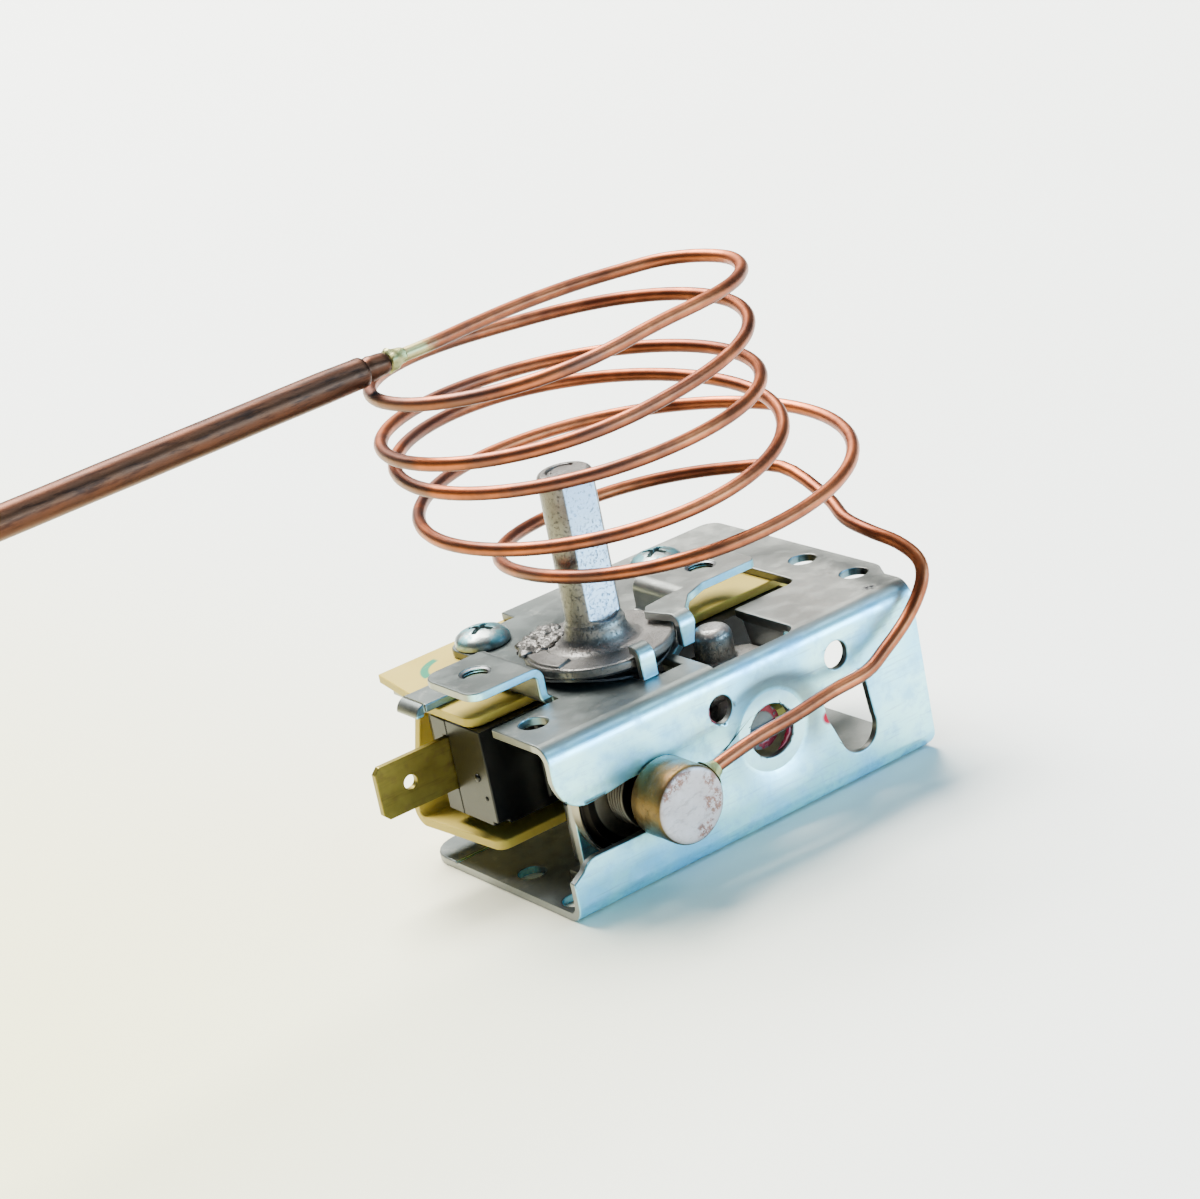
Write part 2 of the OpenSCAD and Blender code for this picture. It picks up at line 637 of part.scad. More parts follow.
// Die-cast bell crank: a hub on the pin, arms to both sides, a boss and a crank for the screw
module rocker_lever() {
    color("lightgray") difference() {
        union() {
            translate([hub_x[0], rocker_y, rocker_z]) rotate([0, 90, 0]) rotate_extrude()
                polygon(concat([[0, 0], [hub_r - 0.4, 0], [hub_r, 0.4]],
                    [[hub_r, hub_x[1] - hub_x[0] - 0.4], [hub_r - 0.4, hub_x[1] - hub_x[0]],
                     [0, hub_x[1] - hub_x[0]]]));
            // Arm behind the left ear, out to the follower pin, and a web over the hub
            translate([0, 0, rocker_arm_top - rocker_arm_t]) linear_extrude(rocker_arm_t)
                union() {
                    translate([pin_x, pin_y]) circle(1.5);
                    polygon([[pin_x, pin_y - 1.5], [hub_x[0] + 0.4, pin_y - 1.5],
                        [hub_x[0] + 0.4, rocker_y - ear_r - 0.4], [hub_x[1], rocker_y - ear_r - 0.4],
                        [hub_x[1], 10.2], [33, 12.6], [28.5, pin_y + 1.5], [pin_x, pin_y + 1.5]]);
                }
            // Rounded boss that stands up in the window
            translate([rocker_boss[0], rocker_boss[1], rocker_arm_top - rocker_arm_t]) rotate_extrude()
                polygon(concat([[0, 0], [rocker_boss_r, 0]],
                    arc([rocker_boss_r - 1.2, rocker_boss_top - 1.2 - rocker_arm_top + rocker_arm_t],
                        1.2, 0, 90, 6),
                    [[0, rocker_boss_top - rocker_arm_top + rocker_arm_t]]));
            // Crank that carries the calibration screw
            translate([calibration_x, crank_y[0], calibration_z]) along_y()
                cylinder(r = crank_r, h = crank_y[1] - crank_y[0]);
            box([calibration_x - crank_r, crank_y[0], calibration_z],
                [calibration_x + crank_r, crank_y[1], rocker_z]);
        }
        translate([hub_x[0] - past, rocker_y, rocker_z]) rotate([0, 90, 0])
            cylinder(r = rocker_pin_r + run, h = hub_x[1] - hub_x[0] + 2 * past);
        translate([calibration_x, crank_y[0] - past, calibration_z]) along_y()
            cylinder(r = calibration_r, h = crank_y[1] - crank_y[0] + 2 * past);
        translate([pin_x, pin_y, rocker_arm_top - rocker_arm_t - past])
            cylinder(r = pin_shank_r + seat, h = rocker_arm_t + 2 * past);
    }
}

module rocker_pin() {
    from = window_left - sheet - 0.5;
    color("gainsboro") translate([from, rocker_y, rocker_z]) rotate([0, 90, 0])
        cylinder(r = rocker_pin_r, h = window_step[0] + sheet + 0.5 - from);
}

module calibration_screw() {
    head_y = [sheet + dish_depth + 0.9, sheet + dish_depth + 2.9];
    color("slategray") translate([calibration_x, 0, calibration_z]) difference() {
        union() {
            translate([0, head_y[0], 0]) along_y() cylinder(r = 2.6, h = head_y[1] - head_y[0]);
            translate([0, head_y[1] - join, 0]) along_y()
                cylinder(r = calibration_r - seat, h = crank_y[1] + 0.3 - head_y[1] + join);
            translate([0, crank_y[1] + 0.3 - join, 0]) along_y() cylinder(r = 0.7, h = 1 + join);
        }
        // Screwdriver slot
        box([-3, head_y[0] - past, -0.35], [3, head_y[0] + 0.8, 0.35]);
    }
}

module range_spring() {
    wire = 0.3;
    coils = 3;
    from = crank_y[1] + 0.3 + wire / 2 + seat;
    to = lever_face - spring_play - wire / 2;
    turns = [for (a = [0:20:360 * coils]) [calibration_x + 1.15 * cos(a), calibration_z + 1.15 * sin(a),
        from + (to - from) * a / (360 * coils)]];
    color("silver") mirror([0, 1, 0]) rotate([90, 0, 0]) sweep(turns, wire / 2, 6);
}

module pivot_post() {
    color("gainsboro") translate([post_x, post_y, sheet + seat]) {
        cylinder(r = post_r, h = plate_under - 1.2 - sheet);
        cylinder(r = barrel_r, h = lever_z[0] - gap - sheet - seat);
    }
}

module power_lever() {
    color("silver") difference() {
        union() {
            translate([post_x, post_y, lever_z[0]]) cylinder(r = barrel_r, h = lever_z[1] - lever_z[0]);
            along_depth(lever_face, lever_face + lever_t) {
                translate([lever_end - 2.3, (lever_z[0] + lever_z[1]) / 2])
                    circle((lever_z[1] - lever_z[0]) / 2);
                translate([post_x, lever_z[0]])
                    square([lever_end - 2.3 - post_x, lever_z[1] - lever_z[0]]);
            }
        }
        translate([post_x, post_y, 0]) cylinder(r = post_r + run, h = frame_height);
    }
}

module element_cap() {
    color("rosybrown") translate([element_x, 0, element_z]) along_y() rotate_extrude()
        polygon(concat([[0, -seat - cap_len], [cap_d / 2 - 0.5, -seat - cap_len]],
            arc([cap_d / 2 - 0.5, 0.5 - seat - cap_len], 0.5, -90, 0, 4),
            [[cap_d / 2, -seat - 0.4], [cap_d / 2 - 0.4, -seat], [neck_r, -seat],
             [neck_r, sheet + 0.4], [0, sheet + 0.4]]));
}

// Corrugated bellows between the cap's neck and the disc
module bellows() {
    from = sheet + 0.4 + seat;
    to = disc_y - seat;
    pitch = (to - from) / corrugations;
    outer = bellows_d / 2;
    inner = outer - 1.3;
    color("goldenrod") translate([element_x, 0, element_z]) along_y() rotate_extrude() {
        translate([0, from]) square([inner, to - from]);
        for (i = [0:corrugations - 1]) translate([inner - join, from + pitch * (i + 0.5)]) {
            translate([0, -pitch * 0.3]) square([outer - inner + join - pitch * 0.3, pitch * 0.6]);
            translate([outer - inner + join - pitch * 0.3, 0]) circle(pitch * 0.3, $fn = 16);
        }
    }
}

// Rear disc with a rolled rim, and the cup that guides the button
module element_disc() {
    r = disc_d / 2;
    color("lightyellow") translate([element_x, 0, element_z]) along_y() difference() {
        union() {
            rotate_extrude() polygon(concat([[0, disc_y], [r - 1.4, disc_y], [r - 1.2, disc_y - 0.5]],
                arc([r - 0.5, disc_y - 0.4], 0.5, 120, 0, 5),
                [[r, disc_y + disc_t], [cup_r, disc_y + disc_t], [cup_r, disc_y + 4],
                 [cup_r - 0.4, disc_y + 4.4], [0, disc_y + 4.4]]));
        }
        translate([0, 0, disc_y + disc_t]) cylinder(r = button_r + run, h = 4);
    }
}

module element_button() {
    color("gainsboro") translate([element_x, disc_y + disc_t + gap, element_z]) along_y()
        cylinder(r = button_r, h = button_end - disc_y - disc_t - gap);
}

// Bent strap behind the disc, with a foot on the bottom plate
module element_clip() {
    strap_y = disc_y + disc_t + seat;
    low = sheet + seat;
    color("silver") {
        along_x(5.2, 8.4) {
            translate([strap_y, low + 1.5]) square([1, 12]);
            translate([strap_y + 1.5, low + 1.5]) quarter_ring(0.5, 1.5, 2);
            translate([strap_y + 1.5, low]) square([1.9, 1]);
        }
    }
}

module housing_shell(from, to, cavity_from, cavity_to) {
    difference() {
        box([switch_x, from, switch_z], [switch_right, to, switch_top]);
        box([switch_x + shell, cavity_from, switch_z + shell],
            [switch_right - shell, cavity_to, switch_top - shell]);
    }
}

module rivet_posts(r, from, to) {
    for (x = rivet_x) translate([x, from, switch_mid]) along_y() cylinder(r = r, h = to - from);
}

module switch_front() {
    color("#1c1d20") difference() {
        union() {
            housing_shell(switch_y, parting_y, switch_y + shell, parting_y + past);
            rivet_posts(rivet_r + 0.9, switch_y + shell - join, parting_y);
            // Upright rib on the front face
            box([8.6, switch_y - 0.35, switch_z + 1], [10.2, switch_y + join, switch_top - 1]);
        }
        rivet_posts(rivet_r + seat, rivet_y, parting_y + past);
        translate([plunger_x, switch_y - past, plunger_z]) along_y()
            cylinder(r = plunger_r + run, h = shell + 2 * past);
        // Relief at the lower left edge
        box([switch_x - past, switch_y - past, switch_z - past],
            [switch_x + 1.6, switch_y + 0.9, switch_z + 0.5]);
    }
}

module switch_back() {
    color("#26272a") difference() {
        union() {
            housing_shell(parting_y + seat, switch_back_y, parting_y - past, switch_back_y - shell);
            rivet_posts(rivet_r + 0.9, parting_y + blade_t + 4 * seat, switch_back_y);
            // Feet that stand off the bracket
            rivet_posts(rivet_r + 1.4, switch_back_y - join, bracket_y - seat);
        }
        rivet_posts(rivet_r + seat, parting_y - past, bracket_y + past);
        // Grooves that the terminals lie in
        box([switch_x - past, parting_y - past, blade_z - blade_w / 2 - seat],
            [switch_x + shell + past, parting_y + blade_t + 3 * seat, blade_z + blade_w / 2 + seat]);
        box([switch_right - shell - past, parting_y - past, blade_z - blade_w / 2 - seat],
            [switch_right + past, parting_y + blade_t + 3 * seat, blade_z + blade_w / 2 + seat]);
    }
}

// Quick-connect blade with a tapered tip and a locking hole, drawn pointing left from the origin
module blade(inside) {
    tip = 0.7;
    difference() {
        linear_extrude(blade_t) polygon([[inside, -blade_w / 2], [tip - blade_len, -blade_w / 2],
            [-blade_len, tip - blade_w / 2], [-blade_len, blade_w / 2 - tip], [tip - blade_len, blade_w / 2],
            [inside, blade_w / 2]]);
        translate([4.2 - blade_len, 0, -past]) cylinder(d = 1.7, h = blade_t + 2 * past);
    }
}

module left_terminal() {
    inner = 7.2;
    y = parting_y + 2 * seat;
    foot = arm_y - 2 * contact_t - blade_t - seat;
    color("#b8a24a") {
        difference() {
            translate([switch_x, y, blade_z]) rotate([90, 0, 0]) translate([0, 0, -blade_t]) blade(inner);
            // Clears the rivet's post
            translate([rivet_x[0], y - past, switch_mid]) along_y()
                cylinder(r = rivet_r + 1.1, h = blade_t + 2 * past);
        }
        // Leg that steps forward to the fixed contact
        box([switch_x + inner - blade_t, foot, blade_z - 2], [switch_x + inner, y + blade_t, blade_z + 2]);
        box([switch_x + inner - blade_t, foot, blade_z - 2], [contact_x + 2.4, foot + blade_t, blade_z + 2]);
    }
}

module right_terminal() {
    inner = arm_inner;
    y = parting_y + 2 * seat;
    color("#b8a24a") {
        difference() {
            translate([switch_right, y, blade_z]) mirror([1, 0, 0]) rotate([90, 0, 0])
                translate([0, 0, -blade_t]) blade(inner);
            translate([rivet_x[1], y - past, switch_mid]) along_y()
                cylinder(r = rivet_r + 1.1, h = blade_t + 2 * past);
        }
        box([switch_right - inner, arm_y + arm_t + seat, blade_z - 2],
            [switch_right - inner + blade_t, y + blade_t, blade_z + 2]);
    }
}

module fixed_contact() {
    color("gold") translate([contact_x, arm_y - 2 * contact_t, blade_z]) along_y()
        cylinder(r = contact_r, h = contact_t - seat);
}

module moving_contact() {
    color("gold") translate([contact_x, arm_y - contact_t, blade_z]) along_y()
        cylinder(r = contact_r, h = contact_t - seat);
}

// Snap blade, slotted along its middle so that the plunger's side tongues can spring
module contact_arm() {
    color("peru") difference() {
        box([contact_x - 2, arm_y, blade_z - 1.8],
            [switch_right - arm_inner + blade_t, arm_y + arm_t, blade_z + 1.8]);
        for (s = [-1, 1]) box([contact_x + 4, arm_y - past, blade_z + s * 0.9 - 0.15],
            [plunger_x + 8, arm_y + past, blade_z + s * 0.9 + 0.15]);
    }
}

module switch_plunger() {
    tip = lever_face + lever_t + touch;
    color("darkred") translate([plunger_x, tip, plunger_z]) along_y() {
        cylinder(r = plunger_r, h = arm_y - touch - tip);
        // Collar that keeps it in the housing
        translate([0, 0, switch_y + shell + gap - tip]) cylinder(r = plunger_r + 0.6, h = 0.7);
    }
}

module switch_rivets() {
    color("silver") rivet_posts(rivet_r, rivet_y + seat, bracket_y + bracket_t);
}

// Cream sheet folded behind and under the switch, notched at the top for the bracket
module switch_wrap() {
    right = switch_right + 0.6;
    bend = 0.8;
    outer = bend + insulator_t;
    low = wrap_z;
    top = switch_top;
    color("#efe3b4") {
        along_depth(wrap_y, wrap_y + insulator_t) polygon([[-0.2, low + outer], [right, low + outer],
            [right, top], [bracket_x[1] + 0.5, top], [bracket_x[1] + 0.5, top - bracket_t - 0.8],
            [bracket_x[0] - 0.5, top - bracket_t - 0.8], [bracket_x[0] - 0.5, top], [3, top]]);
        along_x(-0.2, right) translate([wrap_y - bend, low + outer]) quarter_ring(bend, outer, 3);
        translate([0, 0, low]) linear_extrude(insulator_t) polygon(concat(
            [[right, insulator_y], [right, wrap_y - bend], [-0.2, wrap_y - bend]],
            arc([2.2, insulator_y + 1.4], 1.4, 175, 270, 4)));
    }
}

module insulator_plate() {
    z = plate_under - seat - insulator_t;
    right = switch_right + 1;
    back = frame_depth + 0.3;
    step_y = insulator_front + 1;
    color("#f0e4b6") difference() {
        translate([0, 0, z]) linear_extrude(insulator_t) polygon(concat(
            [[right, step_y], [right, back], [3.4, back], [2.2, back - 8.3], [2.2, back - 10.3],
             [1.4, back - 10.7]],
            arc([3.2, insulator_front + 1.8], 1.8, 180, 270, 5),
            [[right - 15, insulator_front], [right - 15, step_y]]));
        for (x = screw_xs) translate([x, screw_y, z - past])
            cylinder(r = screw_r + 0.2, h = insulator_t + 2 * past);
    }
}

// Steel angle that the switch is riveted to; two screws pull it up under the top plate
module switch_bracket() {
    outer = small_fold + bracket_t;
    low = switch_z + 1;
    color("silver") difference() {
        along_x(bracket_x[0], bracket_x[1]) {
            translate([bracket_y, low]) square([bracket_t, switch_top - low - outer]);
            translate([bracket_y + outer, switch_top - outer]) quarter_ring(small_fold, outer, 1);
            translate([bracket_y + outer, switch_top - bracket_t])
                square([frame_depth - 2 - bracket_y - outer, bracket_t]);
        }
        for (x = screw_xs) translate([x, screw_y, switch_top - bracket_t - past])
            cylinder(r = screw_r + seat, h = bracket_t + 2 * past);
        rivet_posts(rivet_r + seat, bracket_y - past, bracket_y + bracket_t + past);
    }
}

// Pan-head screws with a cross recess
module bracket_screws() {
    low = plate_under - insulator_t - bracket_t - 2;
    color("#9fb0ac") for (x = screw_xs) translate([x, screw_y, 0]) difference() {
        rotate_extrude() polygon(concat(
            [[0, low], [screw_r - 0.3, low], [screw_r, low + 0.3], [screw_r, plate_top + seat],
             [screw_head_r, plate_top + seat], [screw_head_r, plate_top + 0.7]],
            [for (i = [1:5]) let (a = 18 * i)
                [screw_head_r * cos(a), plate_top + 0.7 + (screw_head_h - 0.7) * sin(a)]]));
        for (turn = [25, 115]) rotate([0, 0, turn])
            box([-1.6, -0.35, plate_top + screw_head_h - 1.2], [1.6, 0.35, plate_top + screw_head_h + past]);
    }
}

module capillary_tube() {
    color("#b4653a") sweep(route, tube_d / 2, tube_sides);
}

// Collar of braze round the tube where it enters the cap
module cap_braze() {
    color("gray") difference() {
        translate([element_x, exit_y, element_z]) rotate([0, 90 - exit_angle, 0]) difference() {
            translate([0, 0, cap_d / 2 - 0.5])
                cylinder(r1 = tube_d / 2 + 0.8, r2 = tube_d / 2 + 0.15, h = 1.7);
            cylinder(r = tube_d / 2 + seat, h = cap_d);
        }
        translate([element_x, -cap_len - past, element_z]) along_y() cylinder(r = exit_reach, h = cap_len);
    }
}

module bulb_braze() {
    color("#8f9a5a") translate(bulb_tip) rotate([0, 0, bulb_turn]) rotate([0, 90, 0])
        rotate_extrude() polygon([[0, seat], [tube_d / 2 + 0.2, seat], [tube_d / 2 + 0.6, 1],
            [tube_d / 2 + 0.4, braze_len], [0, braze_len]]);
}

// Bulb with a swaged neck at the coil's end and a rounded far end
module bulb() {
    r = bulb_d / 2;
    color("#9a6a4c") translate(bulb_tip) rotate([0, 0, bulb_turn]) rotate([0, 90, 0])
        translate([0, 0, braze_len + seat]) rotate_extrude()
        polygon(concat([[0, 0], [1.2, 0], [1.3, 2], [r, 3.6]], arc([0, bulb_len - r], r, 0, 90, 6)));
}

place() frame();
place() cam_shaft();
place() wave_washer();
place() follower_pin();
place() rocker_lever();
place() rocker_pin();
place() calibration_screw();
place() range_spring();
place() pivot_post();
place() power_lever();
place() element_cap();
place() bellows();
place() element_disc();
place() element_button();
place() element_clip();
place() switch_front();
place() switch_back();
place() left_terminal();
place() right_terminal();
place() fixed_contact();
place() contact_arm();
place() moving_contact();
place() switch_plunger();
place() switch_rivets();
place() switch_wrap();
place() insulator_plate();
place() switch_bracket();
place() bracket_screws();
place() capillary_tube();
place() cap_braze();
place() bulb_braze();
place() bulb();
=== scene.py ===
"""Oven thermostat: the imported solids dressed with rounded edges, finishes and finer pieces."""
from math import atan2, cos, degrees, floor, pi, radians, sin

import bmesh
import bpy
from mathutils import Matrix, Vector, noise


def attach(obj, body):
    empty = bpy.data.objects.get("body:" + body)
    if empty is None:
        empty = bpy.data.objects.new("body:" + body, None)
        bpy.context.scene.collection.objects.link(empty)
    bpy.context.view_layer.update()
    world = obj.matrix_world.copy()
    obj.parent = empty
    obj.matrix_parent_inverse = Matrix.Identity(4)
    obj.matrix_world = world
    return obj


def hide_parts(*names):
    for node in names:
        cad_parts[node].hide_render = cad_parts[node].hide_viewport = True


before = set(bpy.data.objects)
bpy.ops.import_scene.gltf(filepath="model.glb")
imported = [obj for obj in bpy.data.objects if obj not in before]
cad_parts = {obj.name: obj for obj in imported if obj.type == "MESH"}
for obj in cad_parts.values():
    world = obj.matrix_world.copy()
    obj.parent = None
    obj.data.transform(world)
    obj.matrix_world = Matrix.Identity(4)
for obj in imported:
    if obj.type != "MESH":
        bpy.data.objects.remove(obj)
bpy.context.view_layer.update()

MM = 0.001
# The shaft axis as measured from the channel's front left corner; the frame's origin lies on it
SHAFT_X, SHAFT_Y = 18.8, 15.2


def at(x, y, z):
    """A point measured in millimetres from the channel's front left corner, in the frame."""
    return Vector((x - SHAFT_X, y - SHAFT_Y, z)) * MM


def place_of(point):
    """The opposite of at(): millimetres from the channel's front left corner."""
    return point.x / MM + SHAFT_X, point.y / MM + SHAFT_Y, point.z / MM


# The power element's axis runs along Y through this x and z; the capillary leaves its cap at EXIT_ANGLE
ELEMENT = (13.3, 10.2)
EXIT_Y = -3.6
EXIT_ANGLE = radians(22)
EXIT_REACH = 4.55
CAP_FRONT = -5.45
BELLOWS_RINGS = 6
BELLOWS_FROM, BELLOWS_TO = 1.66, 4.54
# Rust on the cap's face: middle and radius of each patch
RUST_SPOTS = (((16.3, -5.4, 9.6), 1.5), ((14.6, -5.4, 6.6), 1.3), ((12.2, -5.4, 14.2), 1.5),
              ((10.4, -5.4, 13.0), 1.1), ((16.2, -5.4, 12.4), 0.9))

# The capillary: a lead from the element, a coil round an upright axis and a tail up to the bulb
TUBE_R = 0.8
LEAD = [(ELEMENT[0] + EXIT_REACH * cos(EXIT_ANGLE), EXIT_Y, ELEMENT[1] + EXIT_REACH * sin(EXIT_ANGLE)),
        (18.9, -3.6, 12.4), (24.3, -3.5, 13.2), (30, -3.5, 13.6), (35.7, -3, 14), (41.6, -2.5, 14.1),
        (45.1, -2.1, 15.4), (48.7, -1.9, 17.4), (51.2, -1.8, 19.6), (52.6, -1.6, 21.7),
        (53.2, -0.4, 23.4), (52.7, 2, 25), (51.6, 5.2, 26.2), (52.4, 10.6, 26.6), (54.6, 16.4, 27.6)]
COIL_AXIS = (28.5, 21.5)
# The coil's distance from its axis and its level, at each quarter turn
COIL_REACH = [28, 16, 14.7, 22.5, 29.5, 23.5, 21.5, 19.5, 21.5, 23, 23, 18,
              20, 20, 25, 16.5, 20, 16.5, 25.5, 15, 20.5, 13, 22, 17.5]
COIL_LEVEL = [29.5, 30.5, 32.5, 34.5, 36.5, 38, 38, 39, 42, 44.5, 45, 46,
              47, 48, 49, 51, 53.5, 54.5, 56, 58.5, 58.5, 58, 59.5, 62]
QUARTER_TURN = 90
# First and last angle of the coil's knots and the step between them, in degrees
COIL_TURN = (8, 1793, 15)
TAIL = [(48, 23.9, 58.5), (45.2, 27.4, 58.5), (40.7, 29, 58.5), (35.9, 30.1, 58.5),
        (30.5, 30.2, 58.6), (24.9, 29.7, 58.7), (18.8, 28.6, 58.8), (13.6, 27.4, 58.9)]
POINTS_PER_KNOT = 4
BULB_TIP = Vector((8.7, 26.7, 59))
BULB_WAY = Vector((cos(radians(184.8)), sin(radians(184.8)), 0))
BULB_LEN = 120
BULB_R = 1.8
# Length of the uneven swaged neck, and where the bulb reaches its full width
NECK_LEN = 4.2
BULB_FULL_FROM = 4.1
BRAZE_LEN = 2.4

# The dished hole in the front plate: middle (x, z), radius of its flat floor, depth and width of its flare
DISH = (29.7, 11)
DISH_FLOOR = 4.7
DISH_DEPTH = 0.6
DISH_FLARE = 3.6
# The shallow band pressed into the plate's left half: upper edge, which falls a little to the right,
# and how gently it ends at the top, on the right and at the foot
BAND_DEPTH = 0.16
BAND_TOP, BAND_FALL, BAND_TOP_RUN = 15.2, 0.02, 1.8
BAND_RIGHT, BAND_RIGHT_RUN = 31.5, 9
BAND_FOOT, BAND_FOOT_RUN = 4.5, 3
# Where the front plate is cut finely so that it can take these forms
PRESSED_RIGHT = 38.5
PRESSED_FOOT, PRESSED_TOP = 2.3, 18.6
FIRST_LEVEL_CUT = 3.2
CUT_STEP = 0.55
UPRIGHT_CUTS, LEVEL_CUTS = 69, 27
PAST_THE_PLATE = 99
SKIN_DEPTH = 0.75

# Edges where faces meet at more than CREASE degrees are bevelled. Where two of them leave a point side by
# side the bevel fades out, except within FINE_SKIN of the front plate's face, which is finely cut
CREASE = 32
FINE_SKIN = 0.9
SIDE_BY_SIDE = radians(25)
STRAIGHT_ON = radians(150)
FADE_STEPS = 5
# On the shaft it fades only above the boss, at the ends of the flat
SHAFT_FADE_ABOVE = 26

PLATE_TOP = 21
HEAD_SQUASH = 0.86
# Thread in the two tapped tabs
THREAD_LOW, THREAD_PITCH, THREAD_TURNS = 23.88, 0.3, 3
THREAD_ROOT_R, THREAD_CREST_R = 1.8, 1.5
THREADS = (("left_thread", 3.7, 17.6), ("right_thread", 37, 19.1))
# Lacquer left in the front holes: middle, distance from it, first angle, span in degrees, thickness
SMEARS = (("hole_lacquer", (22.99, 0.6, 16.3), 1.5, 120, 130, 0.28),
          ("dish_lacquer_left", (DISH[0], 1.3, DISH[1]), 2.95, 130, 85, 0.32),
          ("dish_lacquer_right", (DISH[0], 1.3, DISH[1]), 2.95, 285, 75, 0.30))
# Moulded pips on the switch's end: y, z and radius
NUB_X = 1.3
NUBS = ((17.82, 12.81, 0.5), (16.86, 10.45, 0.3))
# Level of the broken gate's crust on the shaft's flange
CRUST_LEVEL = 23.5

# The photograph's viewpoint, solved from the plates' corners: angles in degrees, place in millimetres
CAMERA_TURN, CAMERA_DOWN, CAMERA_ROLL = 32.457, 20.27, -11.532
CAMERA_AT = (-159.37, -266.98, 151.25)
FOCAL_PIXELS = 3184.5
PHOTO_PIXELS = 1200
SENSOR_WIDTH = 36

SKY = (0.45, 0.75, 1.0)
SKY_STRENGTH = 0.15
FLOOR_HALF = 6
# The studio's area lights: place, aim, size in metres, power in watts and colour
LIGHTS = (("window", (0.2, 1.1, 1.75), (0, 0, 0), (1.4, 1.1), 250, (1.0, 0.985, 0.94)),
          ("ceiling", (0.2, 0.6, 2.4), (0.1, 0.3, 0), (2.4, 2.4), 8, (0.90, 0.96, 1.0)),
          ("front", (0.75, -1.25, 0.22), (0, 0, 0), (1.3, 0.36), 34, (0.36, 0.70, 1.0)),
          ("fold_panel", (0.75, -0.5, 1.2), (0, 0, 0), (0.5, 0.5), 8, (0.50, 0.78, 1.0)))


def add_camera():
    """The photograph's viewpoint: turned round the object, looking down, rolled in the picture."""
    turn, down, roll = radians(CAMERA_TURN), radians(CAMERA_DOWN), radians(CAMERA_ROLL)
    view = Vector((sin(turn) * cos(down), cos(turn) * cos(down), -sin(down)))
    level = Vector((cos(turn), -sin(turn), 0))
    upright = level.cross(view)
    right = cos(roll) * level + sin(roll) * upright
    up = cos(roll) * upright - sin(roll) * level
    data = bpy.data.cameras.new("photo_view")
    data.sensor_fit = "HORIZONTAL"
    data.sensor_width = SENSOR_WIDTH
    data.lens = SENSOR_WIDTH * FOCAL_PIXELS / PHOTO_PIXELS
    data.dof.use_dof = False
    data.clip_start = 0.01
    cam = bpy.data.objects.new("photo_view", data)
    cam.matrix_world = Matrix.Translation(at(*CAMERA_AT)) @ Matrix(
        (right, up, -view)).transposed().to_4x4()
    bpy.context.scene.collection.objects.link(cam)
    bpy.context.scene.camera = cam


class Shade:
    """What one socket of a material hands on; + - * on it add Math nodes."""

    def __init__(self, finish, socket):
        self.finish = finish
        self.socket = socket

    def sum_with(self, operation, a, b):
        """A Math node on two values, each a Shade or a number."""
        return self.finish.node("ShaderNodeMath", {"operation": operation}, {0: a, 1: b})

    def __add__(self, other):
        return self.sum_with("ADD", self, other)

    def __radd__(self, other):
        return self.sum_with("ADD", other, self)

    def __sub__(self, other):
        return self.sum_with("SUBTRACT", self, other)

    def __rsub__(self, other):
        return self.sum_with("SUBTRACT", other, self)

    def __mul__(self, other):
        return self.sum_with("MULTIPLY", self, other)

    def __rmul__(self, other):
        return self.sum_with("MULTIPLY", other, self)


